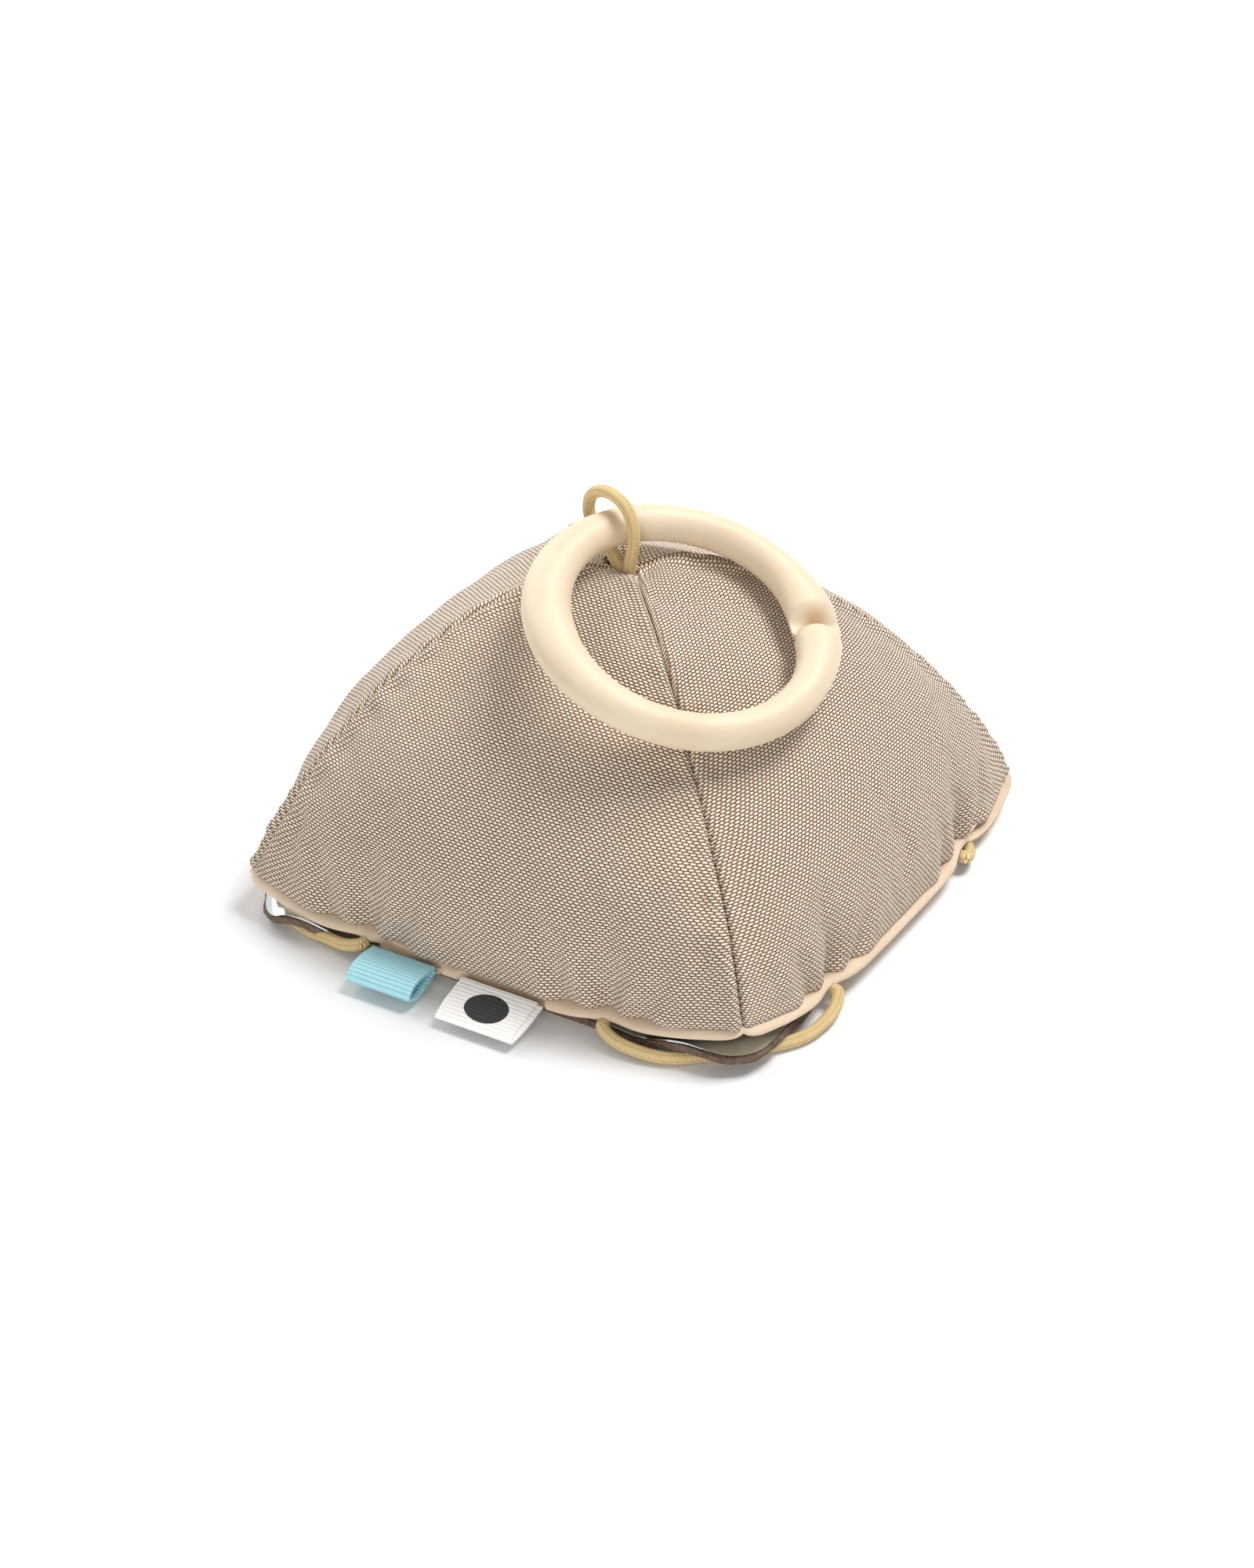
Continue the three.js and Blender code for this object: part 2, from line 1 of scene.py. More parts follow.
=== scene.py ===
import math
import bpy
import numpy as np
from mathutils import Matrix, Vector


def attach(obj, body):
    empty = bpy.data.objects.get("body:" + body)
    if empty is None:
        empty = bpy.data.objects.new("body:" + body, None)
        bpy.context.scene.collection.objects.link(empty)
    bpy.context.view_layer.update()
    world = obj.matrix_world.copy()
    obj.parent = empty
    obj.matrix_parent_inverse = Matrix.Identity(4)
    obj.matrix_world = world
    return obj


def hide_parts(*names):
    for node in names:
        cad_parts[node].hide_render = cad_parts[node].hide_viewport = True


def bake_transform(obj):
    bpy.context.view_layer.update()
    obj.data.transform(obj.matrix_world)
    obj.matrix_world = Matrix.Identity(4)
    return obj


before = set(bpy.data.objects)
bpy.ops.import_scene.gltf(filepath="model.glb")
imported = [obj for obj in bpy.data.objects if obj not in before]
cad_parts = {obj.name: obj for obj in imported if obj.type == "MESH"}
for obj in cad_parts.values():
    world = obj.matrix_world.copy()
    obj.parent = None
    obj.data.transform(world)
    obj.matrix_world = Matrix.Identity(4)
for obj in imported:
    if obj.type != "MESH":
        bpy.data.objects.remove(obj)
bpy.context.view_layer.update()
print("frame loaded with", len(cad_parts), "nodes")

mm = 0.001
rootTwo = math.sqrt(2)
sides = ("front", "right", "back", "left")

# Form of the pillow in millimetres, where groups of four go round its corners from the front right
form = {
    "baseHalf": 65, "peakHeight": 80.5, "peakReach": 40, "peakLean": (-2.3, -1.4),
    "cornerHeight": 12, "cornerReach": 40, "cornerSlope": math.radians(62), "cornerTurn": 3,
    "edgeHeight": 4.3, "edgeBow": 6, "bowFall": 4, "edgeFall": 3,
    "crown": 10.8, "crownFall": 3.4, "crownRound": 3,
    "elasticInset": 33, "puckerInset": 2, "puckerReach": 6, "puckerRise": 0.12,
    "baseBottom": 2.5, "rimOut": 1.3, "flatInset": 5, "cornerInset": 38, "insetTurn": 2.5,
    "cornerRound": 10, "cornerRise": 0.32, "cornerPush": (1.9, 1.7, 1.9, 2.1),
    "cornerBroad": (0.3, 0.6, 0.4, 0.9), "broadReach": 16,
    "cornerSag": (0, 2.0, 0, 1.3), "sagFrom": 0.5, "sagSpan": 0.3, "sagFall": 9,
}
elasticExit = form["baseHalf"] - form["elasticInset"]


def tint(r, g, b):
    def linear(c):
        c = c / 255
        return c / 12.92 if c <= 0.04045 else ((c + 0.055) / 1.055) ** 2.4
    return (linear(r), linear(g), linear(b), 1.0)


def bump(distance, reach):
    return np.exp(-(distance / reach) ** 2)


def smooth(t):
    t = np.clip(t, 0, 1)
    return t * t * (3 - 2 * t)


# One operator of a shader socket, as a math node
def operator(operation, swapped=False):
    def joined(self, other):
        first, second = (other, self) if swapped else (self, other)
        return self.math(operation, first, second)
    return joined


# Shader sockets that can be added, multiplied and so on
class Wire:
    __add__ = operator("ADD")
    __radd__ = operator("ADD", swapped=True)
    __sub__ = operator("SUBTRACT")
    __rsub__ = operator("SUBTRACT", swapped=True)
    __mul__ = operator("MULTIPLY")
    __truediv__ = operator("DIVIDE")
    __pow__ = operator("POWER")
    __mod__ = operator("FLOORED_MODULO")
    atLeast = operator("MAXIMUM")

    def __init__(self, tree, socket=None):
        self.tree = tree
        self.socket = socket

    def node(self, kind, settings, values, out=0):
        made = self.tree.nodes.new(kind)
        for name, value in settings.items():
            if name == "stops":
                ramp = made.color_ramp.elements
                while len(ramp) < len(value):
                    ramp.new(0.5)
                for stop, (place, colour) in zip(ramp, value):
                    stop.position = place
                    stop.color = colour
            else:
                setattr(made, name, value)
        for key, value in values.items():
            if isinstance(value, Wire):
                self.tree.links.new(value.socket, made.inputs[key])
            else:
                made.inputs[key].default_value = value
        return Wire(self.tree, made.outputs[out])

    def math(self, operation, *values):
        return self.node("ShaderNodeMath", {"operation": operation}, dict(enumerate(values)))

    def mix(self, share, first, second):
        return self.node("ShaderNodeMix", {"data_type": "RGBA"}, {0: share, 6: first, 7: second}, 2)

    def ramp(self, value, stops):
        return self.node("ShaderNodeValToRGB", {"stops": stops}, {0: value})

    def noise(self, place, scale, detail=2.0, rough=0.5):
        values = {"Vector": place, "Scale": scale, "Detail": detail, "Roughness": rough}
        return self.node("ShaderNodeTexNoise", {}, values)

    def floor(self):
        return self.math("FLOOR", self)

    def size(self):
        return self.math("ABSOLUTE", self)

    def over(self, low, high):
        values = {"Value": self, "From Min": low, "From Max": high}
        return self.node("ShaderNodeMapRange", {"interpolation_type": "SMOOTHSTEP"}, values)


def newMaterial(name):
    material = bpy.data.materials.new(name)
    material.use_nodes = True
    tree = material.node_tree
    return material, Wire(tree), tree.nodes["Principled BSDF"]


def dressed(wire, shader, colour, rough, height, strength, depth, fixed=()):
    normal = wire.node("ShaderNodeBump", {}, {"Strength": strength, "Distance": depth, "Height": height})
    for name, value in (("Base Color", colour), ("Roughness", rough), ("Normal", normal)):
        wire.tree.links.new(value.socket, shader.inputs[name])
    for name, value in fixed:
        shader.inputs[name].default_value = value


def uvPlace(wire, name):
    uv = wire.node("ShaderNodeUVMap", {"uv_map": name}, {})
    across = wire.node("ShaderNodeSeparateXYZ", {}, {0: uv}, 0)
    along = wire.node("ShaderNodeSeparateXYZ", {}, {0: uv}, 1)
    return uv, across, along


def objectPlace(wire):
    return wire.node("ShaderNodeTexCoord", {}, {}, "Object")


# Mesh helpers
def meshPiece(name, points, faces, material, uvName=None, uvs=None):
    mesh = bpy.data.meshes.new(name)
    outlines = [tuple(int(i) for i in f) for f in faces]
    mesh.from_pydata([tuple(p) for p in np.asarray(points, float)], [], outlines)
    mesh.update()
    if uvName:
        layer = mesh.uv_layers.new(name=uvName)
        order = np.zeros(len(mesh.loops), np.int32)
        mesh.loops.foreach_get("vertex_index", order)
        layer.data.foreach_set("uv", np.asarray(uvs, np.float32)[order].ravel())
    mesh.shade_smooth()
    obj = bpy.data.objects.new(name, mesh)
    bpy.context.scene.collection.objects.link(obj)
    mesh.materials.append(material)
    return obj


def gridFaces(rows, columns, wrap=False):
    i, j = np.meshgrid(np.arange(rows - 1), np.arange(columns if wrap else columns - 1), indexing="ij")
    k = (j + 1) % columns
    low, high = i * columns, (i + 1) * columns
    return np.stack([low + j, low + k, high + k, high + j], -1).reshape(-1, 4)


def useOnly(obj):
    bpy.ops.object.select_all(action="DESELECT")
    obj.select_set(True)
    bpy.context.view_layer.objects.active = obj


def applied(obj, kind, **settings):
    useOnly(obj)
    modifier = obj.modifiers.new(kind.lower(), kind)
    for name, value in settings.items():
        setattr(modifier, name, value)
    bpy.ops.object.modifier_apply(modifier=modifier.name)
    return obj


# Joins points closer than the weld, and turns the faces outward
def mended(obj, weld=0.0):
    useOnly(obj)
    bpy.ops.object.mode_set(mode="EDIT")
    bpy.ops.mesh.select_all(action="SELECT")
    if weld:
        bpy.ops.mesh.remove_doubles(threshold=weld)
    bpy.ops.mesh.normals_make_consistent(inside=False)
    bpy.ops.object.mode_set(mode="OBJECT")


def meshArea(obj):
    return sum(p.area for p in obj.data.polygons)


def runLength(points):
    return np.concatenate([[0], np.cumsum(np.linalg.norm(np.diff(points, axis=0), axis=1))])


# Smooth line through points, the same curve as the solids' cords
def smoothPath(points, perSpan):
    p = np.asarray(points, float)
    p = np.vstack([2 * p[0] - p[1], p, 2 * p[-1] - p[-2]])
    line = []
    for i in range(1, len(p) - 2):
        a, b, c, d = p[i - 1], p[i], p[i + 1], p[i + 2]
        t0, t1, t2 = (np.linalg.norm(x) ** 0.5 for x in (b - a, c - b, d - c))
        m1 = ((b - a) / t0 - (c - a) / (t0 + t1) + (c - b) / t1) * t1
        m2 = ((c - b) / t1 - (d - b) / (t1 + t2) + (d - c) / t2) * t1
        for s in np.arange(perSpan) / perSpan:
            line.append((2 * s ** 3 - 3 * s ** 2 + 1) * b + (s ** 3 - 2 * s ** 2 + s) * m1
                        + (3 * s ** 2 - 2 * s ** 3) * c + (s ** 3 - s ** 2) * m2)
    line.append(p[-2])
    return np.array(line)


# Cover surface: u across a side, v from the base seam to the peak
def seamLine(v):
    w = 1 - v
    base, slope, reach = form["baseHalf"] * rootTwo, form["cornerSlope"], form["cornerReach"]
    ends = np.array([
        (base, form["cornerHeight"]),
        (base - reach * math.cos(slope), form["cornerHeight"] + reach * math.sin(slope)),
        (form["peakReach"], form["peakHeight"]),
        (0, form["peakHeight"]),
    ])
    place = [w ** 3 * a + 3 * w * w * v * b + 3 * w * v * v * c + v ** 3 * d for a, b, c, d in ends.T]
    run = [3 * (w * w * (b - a) + 2 * w * v * (c - b) + v * v * (d - c)) for a, b, c, d in ends.T]
    size = np.hypot(run[0], run[1])
    return place[0], place[1], run[0] / size, run[1] / size


def seamHalf(v):
    return seamLine(v)[0] / rootTwo


# The right end of a side takes its own corner's value, the left end that of the corner before
def byCorner(values, u, side):
    return np.where(u > 0, values[side], values[(side + 3) % 4])


def coverPoint(u, v, depth=0.0, side=0):
    out, z, runOut, runUp = seamLine(v)
    half = (out - runUp * depth) / rootTwo
    z = z + runOut * depth
    face = np.arctan2(runUp * rootTwo, -runOut)
    low, aside, fall = 1 - v, np.abs(u), form["crownFall"]
    fullest = 1 / (1 + fall)
    swelling = form["crown"] * (v * low ** fall / (fullest * (1 - fullest) ** fall))
    swell = (1 - aside ** form["crownRound"]) * (form["edgeBow"] * low ** form["bowFall"] + swelling)
    pucker = bump(np.abs(u * form["baseHalf"]) - elasticExit, form["puckerReach"])
    inset = form["puckerInset"] * pucker * bump(v, form["puckerRise"])
    rise = form["cornerHeight"] - form["edgeHeight"]
    drop = rise * (1 - aside ** form["cornerTurn"]) * low ** form["edgeFall"]
    sagging = smooth((aside - form["sagFrom"]) / form["sagSpan"]) * np.clip(low, 0, 1) ** form["sagFall"]
    drop = drop + byCorner(form["cornerSag"], u, side) * sagging
    x, out = aside * half, half + swell * np.sin(face) - inset
    # stuffed corner: turned on a radius and pushed out
    share = np.maximum(1 - v / form["cornerRise"], 0)
    radius = np.maximum(form["cornerRound"] * share, 1e-6)
    acrossArc = np.maximum(x - (half - radius), 0)
    outArc = out - (half - radius)
    scale = np.maximum(acrossArc, outArc) / np.maximum(np.hypot(acrossArc, outArc), 1e-9)
    push = byCorner(form["cornerPush"], u, side) * share * smooth(acrossArc / radius)
    broad = byCorner(form["cornerBroad"], u, side) * share * bump((1 - aside) * half, form["broadReach"])
    inArc = acrossArc > 0
    x = np.where(inArc, half - radius + acrossArc * scale + push, x) + broad
    out = np.where(inArc, half - radius + outArc * scale + push, out) + broad
    return np.stack([np.sign(u) * x, -out, z + swell * np.cos(face) - drop], -1)


def turned(points, side):
    c, s = ((1, 0), (0, 1), (-1, 0), (0, -1))[side]
    x, y = points[..., 0], points[..., 1]
    return np.stack([x * c - y * s, x * s + y * c, points[..., 2]], -1)


def leaned(points):
    share = smooth((points[..., 2] - form["cornerHeight"]) / (form["peakHeight"] - form["cornerHeight"]))
    moved = points.copy()
    moved[..., :2] += share[..., None] * np.array(form["peakLean"])
    return moved


# One side's line drawn in to a share of its distance from the middle
def drawnIn(seam, scale, z):
    return np.stack([seam[:, 0] * scale, seam[:, 1] * scale, z], -1)


def flatInset(u):
    return form["flatInset"] + (form["cornerInset"] - form["flatInset"]) * np.abs(u) ** form["insetTurn"]


def gridNormals(points):
    normal = np.cross(np.gradient(points, axis=1), np.gradient(points, axis=0))
    return normal / np.maximum(np.linalg.norm(normal, axis=-1, keepdims=True), 1e-9)


# Smooth reading of a coarse grid at u and v
def sampled(field, u, v):
    rows, columns = field.shape[:2]
    x = np.clip((u + 1) / 2 * (columns - 1), 0, columns - 1.001)
    y = np.clip(v * (rows - 1), 0, rows - 1.001)
    i, j = np.floor(y).astype(int), np.floor(x).astype(int)

    def weights(t):
        return ((-t + 2 * t * t - t ** 3) / 2, (2 - 5 * t * t + 3 * t ** 3) / 2,
                (t + 4 * t * t - 3 * t ** 3) / 2, (t ** 3 - t * t) / 2)
    total = np.zeros(u.shape + field.shape[2:])
    for a, wy in enumerate(weights(y - i)):
        for b, wx in enumerate(weights(x - j)):
            rowAt = np.clip(i + a - 1, 0, rows - 1)
            columnAt = np.clip(j + b - 1, 0, columns - 1)
            total += (wy * wx)[..., None] * field[rowAt, columnAt]
    return total


def aimed(obj, place, target):
    obj.location = place
    obj.rotation_euler = (Vector(target) - Vector(place)).to_track_quat("-Z", "Y").to_euler()
    bpy.context.scene.collection.objects.link(obj)


# Camera at the photograph's angle, places in metres
view = {
    "place": (0.432003, -0.737737, 0.555989), "target": (0.001655, -0.008264, 0.024322),
    "lens": 97.81, "sensor": 36,
}
camera = bpy.data.objects.new("camera", bpy.data.cameras.new("camera"))
camera.data.sensor_fit = "VERTICAL"
camera.data.sensor_height = view["sensor"]
camera.data.sensor_width = view["sensor"]
camera.data.lens = view["lens"]
aimed(camera, view["place"], view["target"])
bpy.context.scene.camera = camera
print("camera placed")

# Elastic cord: fine ribs across it, set off by half a rib from lane to lane
elastic = {
    "diameter": 3.0, "around": 22, "roll": (0.31, 0.9, 0.22), "ribPitch": 0.36, "lanes": 6,
    # rib and gap colour the cord by rib height: the darker gap colour is painted shade in the low gaps
    # between ribs, and worn is random wear
    "rib": (254, 228, 166), "gap": (168, 116, 52), "worn": (252, 230, 182),
}


def elasticMaterial():
    material, wire, shader = newMaterial("braidedElastic")
    uv, along, around = uvPlace(wire, "cord")
    lanes = around * elastic["lanes"]
    shake = wire.noise(uv, 900.0) - 0.5
    rib = (along / (elastic["ribPitch"] * mm) + lanes.floor() % 2 * 0.5 + shake * 0.3) % 1 - 0.5
    strand = lanes % 1 - 0.5
    high = (1 - (rib.size() * 2) ** 2) * (1 - (strand.size() * 2) ** 6 * 0.7)
    wear = wire.noise(uv, 160.0)
    # painted shade: the cord is coloured darker where it lies low between ribs
    colour = wire.mix(high.over(0.0, 0.75), tint(*elastic["gap"]), tint(*elastic["rib"]))
    colour = wire.mix(wear.over(0.35, 0.8) * 0.25, colour, tint(*elastic["worn"]))
    dressed(wire, shader, colour, 0.85 - high * 0.2, high, strength=0.8, depth=0.0003)
    return material


elasticCloth = elasticMaterial()


def cordPiece(name, line):
    run = np.gradient(line, axis=0)
    run /= np.linalg.norm(run, axis=1, keepdims=True)
    first = np.cross(run[0], elastic["roll"])
    first /= np.linalg.norm(first)
    firsts = [first]
    for t in run[1:]:
        first = first - t * (first @ t)
        first /= np.linalg.norm(first)
        firsts.append(first)
    firsts = np.array(firsts)
    seconds = np.cross(run, firsts)
    around, radius = elastic["around"], elastic["diameter"] / 2
    turn = 2 * math.pi * np.arange(around + 1) / around
    rings = line[:, None] + radius * (np.cos(turn)[None, :, None] * firsts[:, None]
                                      + np.sin(turn)[None, :, None] * seconds[:, None])
    along = runLength(line)
    uvs = np.stack(np.broadcast_arrays(along[:, None] * mm, np.arange(around + 1)[None, :] / around), -1)
    faces = gridFaces(len(line), around + 1).tolist()
    for row, order in ((0, -1), (len(line) - 1, 1)):
        faces.append([row * (around + 1) + j for j in range(around)][::order])
    obj = meshPiece(name, rings.reshape(-1, 3) * mm, faces, elasticCloth, "cord", uvs.reshape(-1, 2))
    mended(obj, weld=1e-6)
    return obj, along[-1]


# Hanging loop, from the hole at the peak over the ring's tube and back
loop = {"hold": (-5.9, -1.2, 87.4161), "turn": math.radians(163), "tail": 7, "legGap": 0.5, "clear": 6.5}


def loopRoute():
    peak = form["peakHeight"]
    along = np.array([math.cos(loop["turn"]), math.sin(loop["turn"])])
    holdPlace = np.array(loop["hold"][:2])
    root = float((np.array(form["peakLean"]) - holdPlace) @ along)
    leg = elastic["diameter"] / 2 + loop["legGap"] / 2
    clear, hold, low = loop["clear"], loop["hold"][2], peak - loop["tail"]
    route = [
        (root - leg, low), (root - leg, peak - 1), (-clear + 0.45, hold - 4), (-clear + 0.05, hold - 2),
        (-clear - 0.1, hold + 0.8), (-clear + 0.6, hold + 3.9), (-clear + 2.8, hold + 7), (0.6, hold + 8.3),
        (4.6, hold + 7.7), (clear + 1.3, hold + 5.2), (clear + 2.2, hold + 1.8), (clear + 1, hold - 1.8),
        (clear - 1.4, hold - 4.2), (root + leg + 3.6, hold - 6.1), (root + leg + 0.6, peak - 2.6),
        (root + leg, low),
    ]
    return np.array([(*(holdPlace + along * p), z) for p, z in route]), along


loopPoints, loopAlong = loopRoute()
loopLine = smoothPath(loopPoints, 10)
loopCord, loopLength = cordPiece("elastic_loop", loopLine)
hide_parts("hanging_loop")
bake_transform(loopCord)
print("hanging loop made, %.1f mm long" % loopLength)

# Corner elastics, out of one base edge, under the mirror's corner and back up
corners = {
    "bows": (3, -3.2, -3.2, 0.8), "floorGap": 0.2, "seatOut": 0.6, "tipInset": 4.2, "pull": (51.8, 59.0),
    "names": ("front_right", "back_right", "back_left", "front_left"),
}


def cornerRoute(bow):
    half, inset, edge = form["baseHalf"], form["elasticInset"], form["edgeHeight"]
    floorAt = corners["floorGap"] + elastic["diameter"] / 2
    exitPoint = coverPoint(np.array(elasticExit / half), np.array(0.0))
    start = form["rimOut"] + corners["seatOut"] - (half + exitPoint[1])
    lead = [
        (-inset, start, edge - 0.2), (-inset + 0.3, start + 1.2, edge - 0.3),
        (-inset + 4, start + 1.6 + 0.4 * bow, edge - 1.4), (-inset + 10, start + bow, floorAt + 0.4),
        (-inset + 17, start - 1 + 0.8 * bow, floorAt), (-inset + 24, 1.2, floorAt),
    ]
    there = [(half + x, -(half + out), z) for x, out, z in lead]
    back = [(half + out, -(half + x), z) for x, out, z in lead[::-1]]
    tip = half - corners["tipInset"]
    return np.array(there + [(tip, -tip, floorAt)] + back)


elasticLengths = {}
for corner, bow in enumerate(corners["bows"]):
    cornerName = corners["names"][corner]
    cornerLine = smoothPath(turned(cornerRoute(bow), corner), 8)
    cornerCord, elasticLengths[cornerName] = cordPiece("elastic_" + cornerName, cornerLine)
    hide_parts("corner_elastic_" + cornerName)
    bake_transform(cornerCord)
print("corner elastics made,", {k: round(float(v), 1) for k, v in elasticLengths.items()})

# Canvas: rows of short floats, offset from row to row
# A fold has its distance from the elastic, its fan, height, width and reach up the panel
canvas = {
    # top, body, deep and gap colour each float by its height: the near-white top is a painted highlight, and
    # deep and gap are painted shade down the float's sides and in the gaps between floats
    "floatPitch": 1.33, "rowPitch": 0.73, "floatHalf": (0.53, 0.55), "top": (255, 249, 237),
    "body": (245, 215, 183), "deep": (160, 116, 79), "gap": (36, 16, 8), "dust": (156, 130, 104),
    "thickness": 1.0, "columns": 120, "rows": 96, "topAt": 0.985, "hem": 0.006, "perMillimetre": 0.0075,
    "nearSeam": (0.0, 0.22, 0.5, 0.85, 1.3, 1.9, 2.7, 3.7), "fromSeam": 5.0, "narrow": 14,
    "nearBase": (0.0, 0.3, 0.7, 1.2, 1.8, 2.6, 3.6), "fromBase": 4.6,
    "seamSink": (1.5, 1.4, 1.4, 0.7), "sinkReach": 0.5, "seamLap": 0.12, "lapReach": 0.4, "seamFade": 10,
    "seamRoll": 0.8, "rollAt": 1.9, "rollReach": 1.5, "seamDimple": 0.25, "dimpleAt": 5, "dimpleReach": 3.0,
    "hemSink": 0.3, "hemReach": 0.45, "hemRoll": 0.45, "hemRollAt": 2.0, "hemRollReach": 1.6, "ripple": 0.22,
    "folds": ((0.0, 0.04, -1.6, 2.8, 15), (4.6, 0.26, 0.7, 2.8, 16), (-4.4, -0.22, 0.6, 2.8, 16),
              (9.0, 0.4, -1.5, 2.9, 16), (-8.6, -0.36, -1.5, 2.9, 16), (15, 0.45, 0.6, 3.4, 13),
              (-14.5, -0.4, 0.6, 3.4, 13)),
    "foldSway": 0.7, "foldFade": 6, "tuck": (0, 0, 0, 1.4), "tuckFrom": 22, "tuckRise": 30, "tuckFade": 14,
    "hole": (4.5, 1.8), "holeAt": (-3.35, -1.95), "closeFrom": 15, "closeSink": 2.2,
}


def canvasMaterial():
    material, wire, shader = newMaterial("canvasWeave")
    uv, across, along = uvPlace(wire, "weave")
    shake = wire.noise(uv, 420.0, 3.0)
    drift = wire.noise(uv, 130.0, 2.0)
    row = along / (canvas["rowPitch"] * mm) + (drift - 0.5) * 0.9
    rowAt = row.floor()
    column = across / (canvas["floatPitch"] * mm) + (rowAt % 2) * 0.5 + (shake - 0.5) * 0.5
    columnAt = column.floor()
    x = (column - columnAt - 0.5) / canvas["floatHalf"][0]
    y = (row - rowAt - 0.5) / canvas["floatHalf"][1]
    cell = wire.node("ShaderNodeCombineXYZ", {}, {0: columnAt, 1: rowAt})
    chance = wire.node("ShaderNodeTexWhiteNoise", {"noise_dimensions": "2D"}, {"Vector": cell})
    high = (1 - x ** 2 - y ** 2).atLeast(0.0) ** 0.5
    fibre = wire.noise(uv, 2600.0, 2.0)
    # painted highlight and shade: the ramp runs from near-black gaps through darker sides to a near-white top
    # on each float
    stops = ((0.0, "gap"), (0.42, "deep"), (0.7, "body"), (0.95, "top"))
    colour = wire.ramp(high, [(place, tint(*canvas[name])) for place, name in stops])
    shade = (chance * 0.16 + fibre * 0.12 + drift * 0.1).over(0.02, 0.36)
    colour = wire.mix(shade * 0.22, colour, tint(*canvas["dust"]))
    dressed(wire, shader, colour, 0.96 - high * 0.12, high + fibre * 0.12, strength=1.0, depth=0.0007,
            fixed=(("Sheen Weight", 0.12), ("Sheen Roughness", 0.5)))
    return material


canvasCloth = canvasMaterial()

# Cover blown up as cloth between its sewn edges
settle = {
    "columns": 41, "rows": 31, "top": 0.97, "inset": 1.3, "frames": 20, "cap": 1.8, "seamFree": 0.25,
    "baseFree": 0.15, "peakFree": 0.2, "pinned": 0.35, "blendOut": 0.25,
    "cloth": {
        "quality": 6, "mass": 0.2, "tension_stiffness": 15, "compression_stiffness": 15, "shear_stiffness": 8,
        "bending_stiffness": 0.05, "vertex_group_mass": "sewn", "shrink_min": -0.01, "use_pressure": True,
        "uniform_pressure_force": 200.0,
    },
}


def clothRun(points, faces, held):
    mesh = bpy.data.meshes.new("coverCloth")
    mesh.from_pydata([tuple(p * mm) for p in points], [], faces)
    cover = bpy.data.objects.new("coverCloth", mesh)
    bpy.context.scene.collection.objects.link(cover)
    sewn = cover.vertex_groups.new(name="sewn")
    for i, weight in enumerate(held):
        if weight > 0:
            sewn.add([i], float(weight), "REPLACE")
    useOnly(cover)
    cloth = cover.modifiers.new("cloth", "CLOTH")
    for name, value in settle["cloth"].items():
        setattr(cloth.settings, name, value)
    cloth.settings.effector_weights.gravity = 0
    cloth.point_cache.frame_start = 1
    cloth.point_cache.frame_end = settle["frames"]
    for step in range(1, settle["frames"] + 1):
        bpy.context.scene.frame_set(step)
    bpy.ops.object.modifier_apply(modifier=cloth.name)
    after = np.zeros(len(points) * 3)
    cover.data.vertices.foreach_get("co", after)
    bpy.context.scene.frame_set(1)
    bpy.data.objects.remove(cover)
    return after.reshape(-1, 3) * 1000


def settledCover():
    columns, rows, top = settle["columns"], settle["rows"], settle["top"]
    count = rows * columns
    u, v = np.meshgrid(np.linspace(-1, 1, columns), np.linspace(0, top, rows))
    inner = smooth((1 - np.abs(u)) / settle["seamFree"]) * smooth(v / settle["baseFree"])
    inner = inner * smooth((top - v) / settle["peakFree"])
    seams = [coverPoint(u, v, 0.0, side) for side in range(4)]
    starts = [seam - gridNormals(seam) * (settle["inset"] * inner)[..., None] for seam in seams]
    points = np.concatenate([leaned(turned(starts[side], side)).reshape(-1, 3) for side in range(4)])
    pin = np.tile(np.maximum(1 - inner / settle["pinned"], 0).ravel(), 4)
    keys, index = np.unique(np.round(points, 4), axis=0, return_inverse=True)
    index = index.ravel()
    shared = np.zeros((len(keys), 3))
    shared[index] = points
    held = np.zeros(len(keys))
    held[index] = pin
    faces = [tuple(index[f + side * count]) for side in range(4) for f in gridFaces(rows, columns)]
    for row, order in ((0, -1), (rows - 1, 1)):
        rim = [index[side * count + row * columns + j] for side in range(4) for j in range(columns - 1)]
        faces.append(tuple(rim[::order]))
    moved = clothRun(shared, faces, held)
    fields = []
    for side in range(4):
        at = index[side * count:(side + 1) * count]
        shift = (moved[at] - leaned(turned(seams[side], side)).reshape(-1, 3)).reshape(rows, columns, 3)
        size = np.linalg.norm(shift, axis=-1, keepdims=True)
        shift *= np.minimum(1, settle["cap"] / np.maximum(size, 1e-9))
        fields.append(shift)
    return fields


coverFields = settledCover()
if coverFields:
    meanShift = np.mean([np.linalg.norm(f, axis=-1).mean() for f in coverFields])
    print("cover settled, mean shift %.2f mm" % meanShift)


# Where the canvas closes around the two legs of the loop
def holeReach(direction):
    long, wide = canvas["hole"]
    c, s = np.abs(direction @ loopAlong), np.abs(direction @ np.array((-loopAlong[1], loopAlong[0])))
    straight = long - wide
    flat = wide / np.maximum(s, 1e-6)
    end = straight * c + np.sqrt(np.maximum(wide ** 2 - (straight * s) ** 2, 0))
    return np.where(flat * c <= straight, flat, end)


def closedOnLoop(points, half):
    last, holeAt = half[-1, 0], np.array(canvas["holeAt"])
    away = points[..., :2] - holeAt
    reach = np.linalg.norm(away, axis=-1)
    close = smooth((canvas["closeFrom"] - half) / (canvas["closeFrom"] - last)) ** 2
    wanted = holeReach(away / reach[..., None])
    reachNew = reach - close * (reach * last / half - wanted)
    points[..., :2] = holeAt + away * (reachNew / reach)[..., None]
    points[..., 2] -= canvas["closeSink"] * close ** 2
    return points


